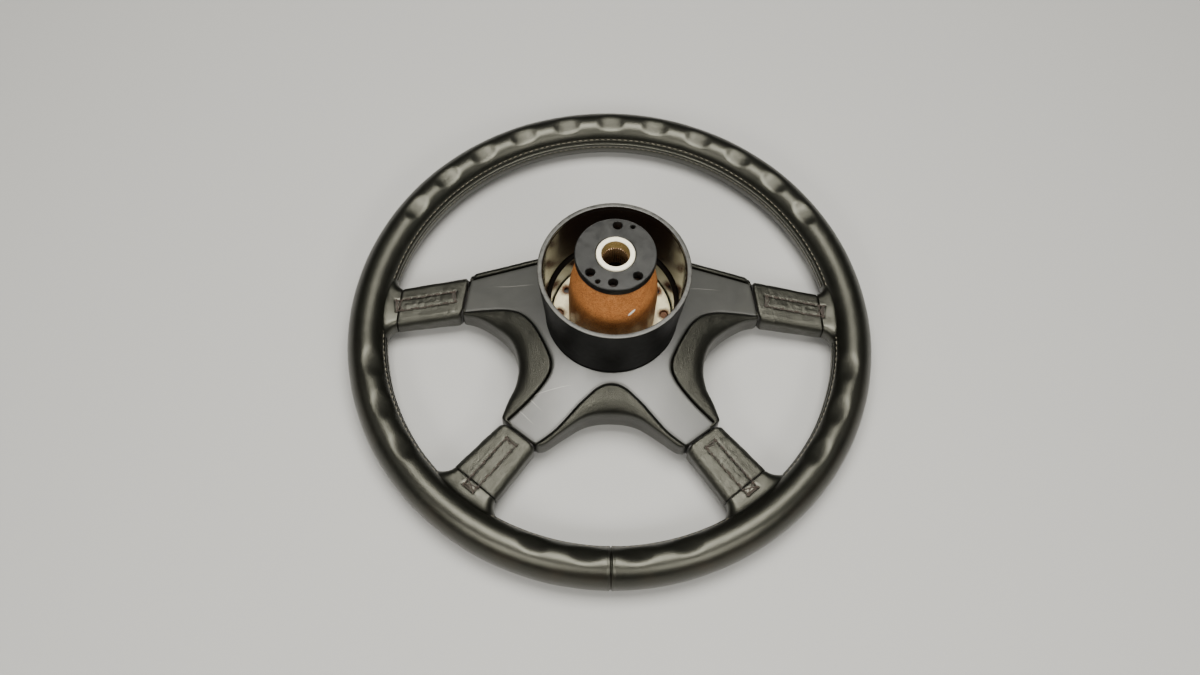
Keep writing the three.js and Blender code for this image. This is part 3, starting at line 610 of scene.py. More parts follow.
phis = sorted(set([round(x * 3.6, 2) for x in range(100)] + [round(SEAM_DEG + k * 0.8, 2) for k in range(-8, 9)]
                  + [round(r + k * 1.2, 2) for r in ROWS_DEG for k in (-2, -1, 0, 1, 2)]))
keep = [phis[0]]
for p in phis[1:]:
    if p - keep[-1] >= 0.55:
        keep.append(p)
phis = keep
thetas = sorted(set([round(i * 0.4, 3) for i in range(900)] + [round(270 + k * 0.06, 3) for k in range(-24, 25)]))
keep = [thetas[0]]
for t in thetas[1:]:
    if t - keep[-1] >= 0.05:
        keep.append(t)
thetas = keep
verts = [rim_point(t, p) for t in thetas for p in phis]
rim = make("rim_leather_skin", verts, grid_faces(len(thetas), len(phis)), M_RIM, replaces=["rim_leather"], slot="leather", sharp=0)
verts = [rim_point(t * 1.5, p * 10.0, inset=2.6, detail=False) for t in range(240) for p in range(36)]
make("rim_foam_core", verts, grid_faces(240, 36), M_FOAM, replaces=["rim_foam"], slot="foam", sharp=0)


def in_spoke(th, extra=0.0):
    for g in SPOKE_GEO.values():
        if abs((th - g["ang"] + 180) % 360 - 180) < math.degrees((g["w"] + 10 + extra) / 161):
            return True
    return False


verts, faces = [], []
for row, off in ((ROWS_DEG[0], 0.0), (ROWS_DEG[1], 0.4)):
    n = 232
    for i in range(n):
        th = (i + off) * 360 / n
        if in_spoke(th, -6) or abs((th + 90 + 180) % 360 - 180) < 0.5:
            continue
        half = 360 / n * 0.355
        pts = []
        skew = rng.uniform(-0.6, 0.6)
        for k in range(7):
            t = k / 6
            up = 0.36 * math.sin(math.pi * t) ** 0.5 - 0.30
            pts.append(rim_point(th + (2 * t - 1) * half, row + skew * (t - 0.5) * 2, inset=-up))
        tube_into(verts, faces, pts, [0.22, 0.26, 0.28, 0.29, 0.28, 0.26, 0.22], 6)
make("rim_stitches", verts, faces, M_THREAD, replaces=["rim_seam_thread"], slot="rim_thread", sharp=0)

# ------------------------------------------------------------------------------ spokes
NU = 144          # round the sleeve


def sleeve_section(u):
    """returns u unchanged and computes no section; u from 0 to 1, starting mid rear face going to -s"""
    return u


def section_loop(w, h, r, crown, n=NU):
    """points (s, q) of a rounded rectangle of half width w and half height h, evenly spread, starting at the middle of the +q face; the long faces crowned"""
    pts = []
    segs = [("t", w - r), ("c1", math.pi / 2 * r), ("l", 2 * (h - r)), ("c2", math.pi / 2 * r), ("b", 2 * (w - r)), ("c3", math.pi / 2 * r), ("r", 2 * (h - r)), ("c4", math.pi / 2 * r), ("t2", w - r)]
    total = sum(s[1] for s in segs)
    for i in range(n):
        x = total * i / n
        for name, l in segs:
            if x <= l:
                break
            x -= l
        f = x / l
        if name == "t":
            s, q = -f * (w - r), h
        elif name == "c1":
            a = math.pi / 2 + f * math.pi / 2
            s, q = -(w - r) + r * math.cos(a), (h - r) + r * math.sin(a)
        elif name == "l":
            s, q = -w, (h - r) - f * 2 * (h - r)
        elif name == "c2":
            a = math.pi + f * math.pi / 2
            s, q = -(w - r) + r * math.cos(a), -(h - r) + r * math.sin(a)
        elif name == "b":
            s, q = -(w - r) + f * 2 * (w - r), -h
        elif name == "c3":
            a = 1.5 * math.pi + f * math.pi / 2
            s, q = (w - r) + r * math.cos(a), -(h - r) + r * math.sin(a)
        elif name == "r":
            s, q = w, -(h - r) + f * 2 * (h - r)
        elif name == "c4":
            a = f * math.pi / 2
            s, q = (w - r) + r * math.cos(a), (h - r) + r * math.sin(a)
        else:
            s, q = (w - r) - f * (w - r), h
        q += math.copysign(crown * (1 - min(1, (s / w) ** 2)), q) if abs(q) > h * 0.6 else 0
        s += math.copysign(0.5 * crown * (1 - min(1, (q / h) ** 2)), s) if abs(s) > w * 0.8 else 0
        pts.append((s, q))
    return pts


LACE_L0, LACE_L1, LACE_W = 7.5, 50.5, 4.4
HOLES = 8


def lace_relief(l, s, seed):
    """height of the leather over the laced seam, mm: dimples at the holes, puckers between, a raised band down the
    middle
    """
    if l < LACE_L0 - 6 or l > LACE_L1 + 6 or abs(s) > 11:
        return 0.0
    h = 0.0
    pitch = (LACE_L1 - LACE_L0) / HOLES
    along = smooth(LACE_L0 - 1.5, LACE_L0 + 1.5, l) * (1 - smooth(LACE_L1 - 1.5, LACE_L1 + 1.5, l))
    row = (abs(s) - LACE_W)
    h -= 0.26 * math.exp(-(row / 0.8) ** 2) * along
    k = (l - LACE_L0) / pitch
    fr = k - round(k)
    h -= 0.55 * math.exp(-((fr * pitch) / 0.7) ** 2 - (row / 0.65) ** 2) * along
    ph = 0.5 + 0.5 * math.cos(TAU * (k - 0.5 + 0.25 * bumpy((k, s * 0.1, seed), 1.3)))
    h += along * (0.20 + 0.13 * ph * (0.8 + 1.6 * bumpy((k, s, seed), 1.7, 4.0)) + 0.12 * bumpy((k * 2, s * 0.8, seed), 2.1, 9.0)) * math.exp(-(abs(s) / 3.7) ** 4)
    h += 0.10 * along * ph * math.exp(-((abs(s) - LACE_W - 1.9) / 1.3) ** 2)
    for end in (LACE_L0, LACE_L1):
        h -= 0.5 * math.exp(-((l - end) / 0.8) ** 2) * (1 - smooth(LACE_W, LACE_W + 1.5, abs(s)))
    return h


def sleeve_frame(g, t):
    """centre, lateral direction, half width, rear z at t along the spoke"""
    P, Q = g["a"] + (g["c"] - g["a"]) * t, g["b"] + (g["d"] - g["b"]) * t
    M = (P + Q) / 2
    w = float(np.linalg.norm(P - Q)) / 2
    return M, (P - Q) / (2 * w), w, SPOKE_REAR_IN + (SPOKE_REAR_OUT - SPOKE_REAR_IN) * t


def flare_point(g, i, v, n=NU):
    """point of the rim leather's branch: i round the section, v from 0 at the cross seam to 1 where it meets the rim"""
    M, dr, w, zt = sleeve_frame(g, 1.0)
    h = (zt - SPOKE_FRONT) / 2
    s, q = g["loop1"][i]
    P0 = np.array([M[0] + dr[0] * s, M[1] + dr[1] * s, SPOKE_FRONT + h + q])
    T0 = np.array([g["dir"][0], g["dir"][1], 0.12 * smooth(0.0, h, q)])
    # landing place on the rim: an oval round the spoke
    e = math.atan2(q / h, s / w)
    sq = (abs(math.cos(e)) ** 3.2 + abs(math.sin(e)) ** 3.2) ** (-1 / 3.2)
    lat, up = math.cos(e) * sq, math.sin(e) * sq
    # lateral direction's sense against the rim's angle
    tang = np.array([-math.sin(math.radians(g["ang"])), math.cos(math.radians(g["ang"]))])
    sense = 1 if float(np.dot(tang, dr)) > 0 else -1
    th = g["ang"] + sense * math.degrees(lat * (g["w"] + 9.5) / 165.0)
    ph = 180 - up * (40 if up > 0 else 52)
    land = np.array(rim_point(th, ph, inset=0.02, detail=False))
    e1 = np.array(rim_point(th + 0.2, ph, detail=False)) - np.array(rim_point(th - 0.2, ph, detail=False))
    e2 = np.array(rim_point(th, ph + 0.5, detail=False)) - np.array(rim_point(th, ph - 0.5, detail=False))
    e1, e2 = e1 / np.linalg.norm(e1), e2 / np.linalg.norm(e2)
    T1 = e1 * sense * lat * (1.0 if abs(up) < 0.999 else 0.6) - e2 * up
    T1 = T1 / (np.linalg.norm(T1) + 1e-9)
    span = np.linalg.norm(land - P0)
    k0, k1 = span * 0.95, span * (0.5 if up > 0 else 0.7)
    v2, v3 = v * v, v * v * v
    return (2 * v3 - 3 * v2 + 1) * P0 + (v3 - 2 * v2 + v) * T0 * k0 + (-2 * v3 + 3 * v2) * land + (v3 - v2) * T1 * k1


sleeves, flares = {}, {}
for tag, g in SPOKE_GEO.items():
    seed = {"ul": 1.3, "ur": 5.7, "ll": 9.2, "lr": 13.6}[tag]
    M1, dr1, w1, zt1 = sleeve_frame(g, 1.0)
    g["loop1"] = section_loop(w1, (zt1 - SPOKE_FRONT) / 2, 5.0, 0.55)
    verts = []
    ts = [0, 0.006, 0.014, 0.026, 0.045] + [0.045 + (0.972 - 0.045) * k / 84 for k in range(1, 85)] + [0.982, 0.99, 0.996, 1.0]
    rows = 0
    for t in ts:
        M, dr, w, zt = sleeve_frame(g, t)
        h = (zt - SPOKE_FRONT) / 2
        l = t * g["len"]
        # ends roll over
        roll = 0.0
        if l < 2.4:
            roll = 1.5 * (1 - math.sqrt(max(0, 1 - ((2.4 - l) / 2.4) ** 2)))
        e = g["len"] - l
        if e < 1.3:
            roll = 0.55 * (1 - math.sqrt(max(0, 1 - ((1.3 - e) / 1.3) ** 2)))
        for s, q in section_loop(w, h, 5.0, 0.55):
            nrm = np.array([s / w, q / h])
            x, z = s, q
            big = max(abs(nrm[0]), abs(nrm[1]))
            f = roll
            side = f + (3.4 * (1 - math.sqrt(max(0, 1 - ((3.6 - l) / 3.6) ** 2))) if l < 3.6 else 0)
            x -= math.copysign(side * smooth(0.55, 1.0, abs(nrm[0])), s)
            z -= math.copysign(f * smooth(0.55, 1.0, abs(nrm[1])), q)
            p = (M[0] + dr[0] * x, M[1] + dr[1] * x, SPOKE_FRONT + h + z)
            rel = 0.0
            if q > h * 0.8:
                rel = lace_relief(l, s, seed)
            rel += 0.35 * bumpy(p, 13, seed) + 0.16 * bumpy(p, 5, seed + 3)
            # soft cross creases
            rel += -0.16 * math.exp(-((l - 11.5 - 1.2 * bumpy(p, 9, seed)) / 0.5) ** 2) * smooth(0.25, 0.8, abs(s) / w)
            nl = np.linalg.norm(nrm ** 3) + 1e-9
            d3 = (nrm ** 3) / nl
            verts.append((p[0] + dr[0] * d3[0] * rel, p[1] + dr[1] * d3[0] * rel, p[2] + d3[1] * rel))
        rows += 1
    faces = grid_faces(rows, NU, close_n=False)
    faces.append(tuple(range(NU))[::-1] if False else tuple(range(NU)))
    faces.append(tuple((rows - 1) * NU + k for k in range(NU))[::-1])
    flip = g["side"] < 0
    sleeves[tag] = make(f"sleeve_{tag}", verts, faces, M_SLEEVE, replaces=[f"spoke_leather_{tag}"], slot="spoke_leather", sharp=60)
    # the rim leather's branch
    verts = []
    vs = [0, 0.008, 0.02, 0.04] + [0.04 + 0.96 * k / 34 for k in range(1, 35)]
    for v in vs:
        for i in range(NU):
            p = flare_point(g, i, v)
            s, q = g["loop1"][i]
            h = (zt1 - SPOKE_FRONT) / 2
            gap = np.array([g["dir"][0], g["dir"][1], 0.0]) * 0.45
            fade = 1 - smooth(0.75, 1.0, v)
            rel = (0.25 * bumpy(p, 11, seed + 7)) * fade
            l = float(np.dot(p[:2] - g["A"], g["dir"]))
            sl = float(np.dot(p[:2] - g["A"], np.array([-g["dir"][1], g["dir"][0]])))
            if q > h * 0.8:
                rel += lace_relief(l, sl, seed)
            if v < 0.06:
                rel -= 0.5 * (1 - math.sqrt(max(0, 1 - ((0.06 - v) / 0.06) ** 2)))
            nrm = np.array([s / w1, q / h]) ** 3
            nrm = nrm / (np.linalg.norm(nrm) + 1e-9)
            p = p + gap * (1 - v) + np.array([dr1[0] * nrm[0], dr1[1] * nrm[0], nrm[1]]) * rel
            verts.append(tuple(p))
    n = len(vs)
    inner = np.array([RIM_R * math.cos(math.radians(g["ang"])), RIM_R * math.sin(math.radians(g["ang"])), RIM_Z])
    for i in range(NU):       # the end inside the rim
        p = np.array(verts[(n - 1) * NU + i])
        verts.append(tuple(p + (inner - p) * 0.35))
    faces = grid_faces(n + 1, NU, close_n=False)
    faces.append(tuple(range(NU)))
    faces.append(tuple(n * NU + k for k in range(NU))[::-1])
    flares[tag] = make(f"rim_branch_{tag}", verts, faces, M_RIM, slot="leather", sharp=60)


def fix_normals(o):
    import bmesh
    bm = bmesh.new()
    bm.from_mesh(o.data)
    bmesh.ops.recalc_face_normals(bm, faces=bm.faces)
    bm.to_mesh(o.data)
    bm.free()


for o in list(sleeves.values()) + list(flares.values()):
    fix_normals(o)


def surface_tree(objs):
    vs, fs = [], []
    for o in objs:
        base = len(vs)
        vs += [v.co * 1000 for v in o.data.vertices]
        fs += [[base + i for i in p.vertices] for p in o.data.polygons]
    return BVHTree.FromPolygons(vs, fs)


def on_surface(tree, x, y, fallback):
    hit = tree.ray_cast(Vector((x, y, 80)), Vector((0, 0, -1)))
    return hit[0].z if hit[0] is not None else fallback


# lacing
for tag, g in SPOKE_GEO.items():
    tree = surface_tree([sleeves[tag], flares[tag], rim])
    lat = np.array([-g["dir"][1], g["dir"][0]])
    r2 = random.Random({"ul": 3, "ur": 11, "ll": 19, "lr": 29}[tag])
    verts, faces = [], []

    def stitch(l0, s0, l1, s1, rad=0.42, up=0.30, n=8, sag=0.55):
        pts, rr = [], []
        for k in range(n + 1):
            t = k / n
            l, s = l0 + (l1 - l0) * t, s0 + (s1 - s0) * t
            q = g["A"] + g["dir"] * l + lat * s
            z = on_surface(tree, q[0], q[1], 26)
            pts.append((q[0], q[1], z + up * math.sin(math.pi * t) ** 0.6 - sag * (1 - math.sin(math.pi * t) ** 0.5)))
            rr.append(rad * (0.8 + 0.2 * math.sin(math.pi * t)))
        tube_into(verts, faces, pts, rr, 7)

    pitch = (LACE_L1 - LACE_L0) / HOLES
    for sgn in (-1, 1):
        for k in range(HOLES):
            l0, l1 = LACE_L0 + k * pitch, LACE_L0 + (k + 1) * pitch
            j = [r2.uniform(-0.25, 0.25) for _ in range(4)]
            stitch(l0 + 0.5 + j[0], sgn * LACE_W + 1.3 * j[1], l1 - 0.5 + j[2], sgn * LACE_W + 1.3 * j[3], 0.46, 0.26)
            stitch(l0 + 0.1, sgn * (LACE_W + 0.75) + j[2], l0 + 0.9, sgn * (LACE_W - 0.9) + j[0], 0.50, 0.15, 5)
            if k % 2 == (0 if sgn < 0 else 1):
                stitch(l0 + 0.1, sgn * (LACE_W - 0.1) + j[1], l0 + pitch * 0.55 + j[0], sgn * (LACE_W - 1.1), 0.36, 0.2)
    for l in (LACE_L0, LACE_L1 - 0.9, LACE_L1):
        j = [r2.uniform(-0.3, 0.3) for _ in range(2)]
        stitch(l + j[0], -LACE_W, l + j[1], LACE_W, 0.36, 0.25, 12)
    # crossed and knotted ends over the cross seam
    for l0, s0, l1, s1 in ((LACE_L1 - 4.6, -LACE_W, LACE_L1 - 0.5, LACE_W), (LACE_L1 - 4.6, LACE_W, LACE_L1 - 0.5, -LACE_W), (LACE_L0, -LACE_W, LACE_L0 + 2.6, 1.2), (LACE_L0, LACE_W, LACE_L0 + 2.4, -0.8)):
        stitch(l0, s0, l1, s1, 0.4, 0.45, 12)
    for e in (-1, 1):
        q = (LACE_L1 + 0.3, e * LACE_W)
        stitch(q[0] - 1.0, q[1] - 0.8, q[0] + 0.7, q[1] + 0.8, 0.55, 0.5, 6)
        q = (LACE_L0 - 0.2, e * LACE_W)
        stitch(q[0] - 0.7, q[1] + 0.5, q[0] + 0.8, q[1] - 0.7, 0.55, 0.45, 6)
    make(f"lacing_{tag}", verts, faces, M_LACE, replaces=[f"lace_thread_{tag}"], slot="lace_thread", sharp=0)


# ------------------------------------------------------------------------------ outlines
def mirrored(half):
    left = [(-x, y) for x, y in half[1:] if x != 0][::-1]
    return list(half) + left


def spline(points, corners, step=1.1):
    """closed Catmull-Rom curve, with true corners at the named points"""
    pts = [np.array(p, float) for p in points]
    n = len(pts)
    iscorner = [any(abs(p[0]) == c[0] and p[1] == c[1] for c in corners) for p in points]
    out = []
    for i in range(n):
        p0, p1, p2, p3 = pts[i - 1], pts[i], pts[(i + 1) % n], pts[(i + 2) % n]
        if iscorner[i]:
            p0 = p1 - (p2 - p1) * 0.5
        if iscorner[(i + 1) % n]:
            p3 = p2 + (p2 - p1) * 0.5
        d01, d12, d23 = [max(1e-6, math.sqrt(np.linalg.norm(b - a))) for a, b in ((p0, p1), (p1, p2), (p2, p3))]
        m = max(2, int(round(np.linalg.norm(p2 - p1) / step)))
        m1 = (p2 - p1) + d12 * ((p1 - p0) / d01 - (p2 - p0) / (d01 + d12))
        m2 = (p2 - p1) + d12 * ((p3 - p2) / d23 - (p3 - p1) / (d12 + d23))
        for k in range(m):
            t = k / m
            t2, t3 = t * t, t * t * t
            out.append((2 * t3 - 3 * t2 + 1) * p1 + (t3 - 2 * t2 + t) * m1 + (-2 * t3 + 3 * t2) * p2 + (t3 - t2) * m2)
    return np.array(out)


def offset_loop(loop, d):
    """points moved inwards by d along the loop's normals (loop counter-clockwise or clockwise)"""
    area = 0.5 * float(np.sum(loop[:, 0] * np.roll(loop[:, 1], -1) - np.roll(loop[:, 0], -1) * loop[:, 1]))
    t = np.roll(loop, -1, 0) - np.roll(loop, 1, 0)
    t /= np.linalg.norm(t, axis=1)[:, None]
    n = np.stack([-t[:, 1], t[:, 0]], 1) * (1 if area > 0 else -1)
    return loop + n * d


def round_corners(loop, passes):
    for _ in range(passes):
        loop = 0.5 * loop + 0.25 * (np.roll(loop, 1, 0) + np.roll(loop, -1, 0))
    return loop


def dist_to(points, loop):
    """distance from points to a closed polyline"""
    a, b = loop, np.roll(loop, -1, 0)
    out = np.full(len(points), 1e9)
    ab = b - a
    l2 = np.sum(ab * ab, 1)
    for k in range(0, len(points), 2000):
        p = points[k:k + 2000]
        ap = p[:, None, :] - a[None]
        t = np.clip(np.sum(ap * ab[None], 2) / l2[None], 0, 1)
        d = np.linalg.norm(ap - ab[None] * t[..., None], axis=2)
        out[k:k + 2000] = d.min(1)
    return out


def inside(points, loop):
    x, y = points[:, 0], points[:, 1]
    res = np.zeros(len(points), bool)
    n = len(loop)
    for i in range(n):
        x1, y1 = loop[i]
        x2, y2 = loop[(i + 1) % n]
        c = ((y1 > y) != (y2 > y)) & (x < (x2 - x1) * (y - y1) / ((y2 - y1) if y2 != y1 else 1e-12) + x1)
        res ^= c
    return res


def fill_region(loops, extra, outer=0):
    """triangulates the region inside loops[0] and outside the others, through the extra points; returns points, triangles and each loop's vertex indices"""
    pts = [Vector((float(p[0]), float(p[1]))) for lp in loops for p in lp] + [Vector((float(p[0]), float(p[1]))) for p in extra]
    edges, base, idx = [], 0, []
    for lp in loops:
        n = len(lp)
        edges += [(base + i, base + (i + 1) % n) for i in range(n)]
        idx.append(list(range(base, base + n)))
        base += n
    v, e, f, ov, oe, of_ = delaunay_2d_cdt(pts, edges, [], 0, 1e-6)
    remap = {}
    for new, olds in enumerate(ov):
        for o in olds:
            remap[o] = new
    P = np.array([(p.x, p.y) for p in v])
    T = [tuple(t) for t in f if len(t) == 3]
    cen = np.array([P[list(t)].mean(0) for t in T])
    ok = inside(cen, np.array(loops[0]))
    for lp in loops[1:]:
        ok &= ~inside(cen, np.array(lp))
    T = [t for t, k in zip(T, ok) if k]
    idx = [[remap[i] for i in lp] for lp in idx]
    return P, T, idx


def grid_points(loop, step, margin, holes=(), jitter=0.0):
    lo, hi = loop.min(0), loop.max(0)
    xs, ys = np.arange(lo[0], hi[0], step), np.arange(lo[1], hi[1], step * 0.866)
    pts = np.array([(x + (0.5 * step if j % 2 else 0), y) for j, y in enumerate(ys) for x in xs])
    m = inside(pts, loop) & (dist_to(pts, loop) > margin)
    for h in holes:
        m &= ~inside(pts, h) & (dist_to(pts, h) > margin)
    return pts[m]


def rings_in(loop, dists):
    """points on inner offsets of the loop, dropping those that an opposite edge is nearer to"""
    out = []
    for k, d in enumerate(dists):
        o = offset_loop(loop, d)
        if k % 2:
            o = (o + np.roll(o, -1, 0)) / 2
        dd = dist_to(o, loop)
        o = o[(dd > d * 0.93) & inside(o, loop)]
        last = None
        for p in o:
            if last is None or np.linalg.norm(p - last) > 0.55:
                out.append(p)
                last = p
    return np.array(out)


def circle(r, n, x=0.0, y=0.0, a0=0.0):
    return np.array([(x + r * math.cos(a0 + TAU * i / n), y + r * math.sin(a0 + TAU * i / n)) for i in range(n)])


def orient(tris, P, up):
    out = []
    for t in tris:
        a, b, c = P[t[0]], P[t[1]], P[t[2]]
        ccw = (b[0] - a[0]) * (c[1] - a[1]) - (b[1] - a[1]) * (c[0] - a[0]) > 0
        out.append(t if ccw == up else t[::-1])
    return out


# ------------------------------------------------------------------------------ rear cover
cover_line = spline(mirrored(COVER_HALF), COVER_CORNERS, 1.1)
cover_line = round_corners(cover_line, 2)
HOLE = circle(44.2, 180)
dists = [0.25, 0.6, 1.0, 1.6, 2.6]
extra = np.vstack([rings_in(cover_line, dists), circle(44.5, 180), circle(45.1, 180), circle(46.2, 180), grid_points(cover_line, 2.6, 3.4, [circle(46.4, 90)])])
P, T, idx = fill_region([cover_line, HOLE], extra)
d_edge = dist_to(P, cover_line)
rad = np.linalg.norm(P, axis=1)
R_EDGE = 1.3
lift = np.where(d_edge < R_EDGE, R_EDGE - np.sqrt(np.clip(R_EDGE ** 2 - (R_EDGE - d_edge) ** 2, 0, None)), 0)
dh = rad - 44.2
lift += np.where(dh < 0.7, 0.7 - np.sqrt(np.clip(0.49 - (0.7 - dh) ** 2, 0, None)), 0)
# a faint raised border round the arms, computed here but multiplied by zero below, so not applied
lip = 0.12 * np.exp(-((d_edge - 3.0) / 1.2) ** 2)
sag = np.array([0.10 * bumpy((p[0], p[1], 0), 30, 2.2) for p in P])
zt = np.array([dish(r) for r in rad]) - lift + lip * 0 + sag + 0.15
zb = np.array([dish(r) for r in rad]) - 2.4
n = len(P)
verts = [(P[i, 0], P[i, 1], zt[i]) for i in range(n)] + [(P[i, 0], P[i, 1], zb[i]) for i in range(n)]
faces = orient(T, P, True) + [tuple(n + i for i in t) for t in orient(T, P, False)]
for lp in idx:
    m = len(lp)
    for i in range(m):
        a, b = lp[i], lp[(i + 1) % m]
        faces.append((a, b, n + b, n + a))
cover = make("rear_cover_shell", verts, faces, M_COVER, replaces=["rear_cover"], slot="cover_plastic", sharp=35)
fix_normals(cover)

# ------------------------------------------------------------------------------ centre pad
pad_line = spline(mirrored(PAD_HALF), PAD_CORNERS, 1.1)
pad_line = round_corners(pad_line, 3)
grow = offset_loop(cover_line, -0.95)
grow = round_corners(grow, 3)
# the pad's recess keeps clear inside its own outline at the arms' ends
ok = inside(grow, pad_line) & (dist_to(grow, pad_line) > 0.7)
fixd = []
for p, k in zip(grow, ok):
    if k:
        fixd.append(p)
pocket = np.array(fixd)
keep = [pocket[0]]
for p in pocket[1:]:
    if np.linalg.norm(p - keep[-1]) > 0.35:
        keep.append(p)
pocket = np.array(keep)
pocket_in = offset_loop(pocket, 0.35)
BZ = circle(33.0, 120)
extra = np.vstack([rings_in(pad_line, [0.15, 0.5, 1.0, 1.7, 2.6, 3.7, 5.0, 6.5]), grid_points(pad_line, 1.5, 7.2)])
# ring points just outside the recess, for its rolled edge
for dd in (-0.35, -0.9, -1.7):
    o = offset_loop(pocket, dd)
    m = inside(o, pad_line) & (dist_to(o, pad_line) > 0.5) & (dist_to(o, pocket) > abs(dd) * 0.9)
    extra = np.vstack([extra, o[m]])
dp = dist_to(extra, pocket)
ins = inside(extra, pocket)
extra = extra[((~ins) & (dp > 0.3)) | (ins & (dp > 0.8))]
extra = extra[(np.linalg.norm(extra, axis=1) > 33.6)]
P, T, idx = fill_region([pad_line, BZ, pocket, pocket_in], extra)
# fill_region drops what is inside the later loops, so triangulate again keeping the recess
pts_all = P
pts_v = [Vector((float(p[0]), float(p[1]))) for p in P]
edges = []
for lp in idx:
    edges += [(lp[i], lp[(i + 1) % len(lp)]) for i in range(len(lp))]
v, e, f, ov, oe, of_ = delaunay_2d_cdt(pts_v, edges, [], 0, 1e-6)
remap = {}
for new, olds in enumerate(ov):
    for o in olds:
        remap[o] = new
P = np.array([(p.x, p.y) for p in v])
T = [tuple(t) for t in f if len(t) == 3]
cen = np.array([P[list(t)].mean(0) for t in T])
k = inside(cen, pad_line) & (np.linalg.norm(cen, axis=1) > 33.0 * 0.999)
T = [t for t, q in zip(T, k) if q]
idx = [[remap[i] for i in lp] for lp in idx]
d_free = dist_to(P, pad_line)
d_pock = dist_to(P, pocket)
in_pock = inside(P, pocket) | (d_pock < 1e-4)
on_outer_pocket = set(idx[2])
rad = np.linalg.norm(P, axis=1)
RW, DROP = 9.0, 6.0
width = d_free + d_pock
rw = np.minimum(RW, 0.60 * width)
x = np.clip(d_free / np.maximum(rw, 0.1), 0, 1)
pil = np.minimum(DROP, rw * 0.75) * (1 - np.sqrt(np.clip(1 - (1 - x) ** 2, 0, 1)))
roll = np.where(d_pock < 1.3, 1.3 - np.sqrt(np.clip(1.3 ** 2 - (1.3 - d_pock) ** 2, 0, None)), 0) * 0.8
# the webs crown towards the groove, and the two narrow lips at the top end in rounded noses
nose = (P[:, 1] > 20) & (np.abs(P[:, 0]) > 92)
pil = pil + np.where(nose, 2.2 * smooth(98.5, 101.5, np.abs(P[:, 0])), 0)
surf = np.array([dish(r) for r in rad]) + 1.15 - pil - roll
surf += np.array([0.30 * bumpy((p[0], p[1], 5), 16, 6.6) + 0.12 * bumpy((p[0], p[1], 5), 6, 2.6) for p in P])
zt = np.where(in_pock, 12.0, surf)
for i in on_outer_pocket:
    zt[i] = surf[i]
# arm outlets towards the sleeves
for line, sx in [(((92, 21.3), (125, 20.2), 10.6), s) for s in (1, -1)] + [(((56, -81), (76, -102), 9.8), s) for s in (1, -1)]:
    a, b, hw = np.array([line[0][0] * sx, line[0][1]]), np.array([line[1][0] * sx, line[1][1]]), line[2]
    dv = (b - a) / np.linalg.norm(b - a)
    rel = P - a
    along = rel @ dv
    across = np.abs(rel @ np.array([-dv[1], dv[0]]))
    zt[(along > 0) & (along < 40) & (across < hw)] = 12.0
# the front: soft rounded edge, a sewn-look channel round the border, a shallow dish round the horn push
RF = 8.5
x = np.clip(d_free / RF, 0, 1)
front = 8.0 - 1.2 * smooth(8, 30, d_free) + 8.0 * (1 - np.sqrt(np.clip(1 - (1 - x) ** 2, 0, 1)))
front += 0.9 * np.exp(-((d_free - 10.5) / 0.8) ** 2)
front += np.where(rad < 39, 1.2 * (1 - smooth(34.5, 39, rad)), 0)
front = np.minimum(front, zt - 1.6)
n = len(P)
verts = [(P[i, 0], P[i, 1], zt[i]) for i in range(n)] + [(P[i, 0], P[i, 1], front[i]) for i in range(n)]
faces = orient(T, P, True) + [tuple(n + i for i in t) for t in orient(T, P, False)]
for lp in idx[:2]:
    m = len(lp)
    rings = 3 if lp is idx[0] else 1
    prev = list(lp)
    for r in range(rings):
        if r == rings - 1:
            cur = [n + i for i in lp]
        else:
            cur = []
            f = (r + 1) / rings
            for i in lp:
                verts.append((P[i, 0], P[i, 1], zt[i] + (front[i] - zt[i]) * f))
                cur.append(len(verts) - 1)
        for i in range(m):
            j = (i + 1) % m
            faces.append((prev[i], prev[j], cur[j], cur[i]))
        prev = cur
pad = make("centre_pad_skin", verts, faces, M_PAD, replaces=["centre_pad"], slot="pad_skin", sharp=60)
fix_normals(pad)


# ------------------------------------------------------------------------------ plates with holes
def holed_plate(name, outer_r, inner_r, holes, z0, z1, ch, mat, segs=160, hole_segs=32, step=2.2, **kw):
    """flat ring with chamfered edges; holes are (x, y, r)"""
    loops = [("o", circle(outer_r, segs), (0, 0), outer_r, -ch), ("i", circle(inner_r, segs // 2), (0, 0), inner_r, ch)]
    loops += [("h", circle(r, hole_segs, x, y), (x, y), r, ch * 0.8) for x, y, r in holes]
    tops = []
    for kind_, lp, c, r, off in loops:
        c = np.array(c)
        tops.append(c + (lp - c) * ((r + off) / r))
    gp = grid_points(tops[0], step, step * 0.6, tops[1:])
    P, T, idx = fill_region(tops, gp)
    n = len(P)
    verts = [(p[0], p[1], z1) for p in P] + [(p[0], p[1], z0) for p in P]
    faces = orient(T, P, True) + [tuple(n + i for i in t) for t in orient(T, P, False)]
    for (kind_, lp, c, r, off), ix in zip(loops, idx):
        base = len(verts)
        m = len(lp)
        for p in lp:
            verts.append((p[0], p[1], z1 - abs(off)))
        for p in lp:
            verts.append((p[0], p[1], z0 + abs(off)))
        for i in range(m):
            j = (i + 1) % m
            faces.append((ix[i], ix[j], base + j, base + i))
            faces.append((base + i, base + j, base + m + j, base + m + i))
            faces.append((base + m + i, base + m + j, n + ix[j], n + ix[i]))
    o = make(name, verts, faces, mat, sharp=24, **kw)
    fix_normals(o)
    return o


def polar(deg, r):
    return r * math.cos(math.radians(deg)), r * math.sin(math.radians(deg))


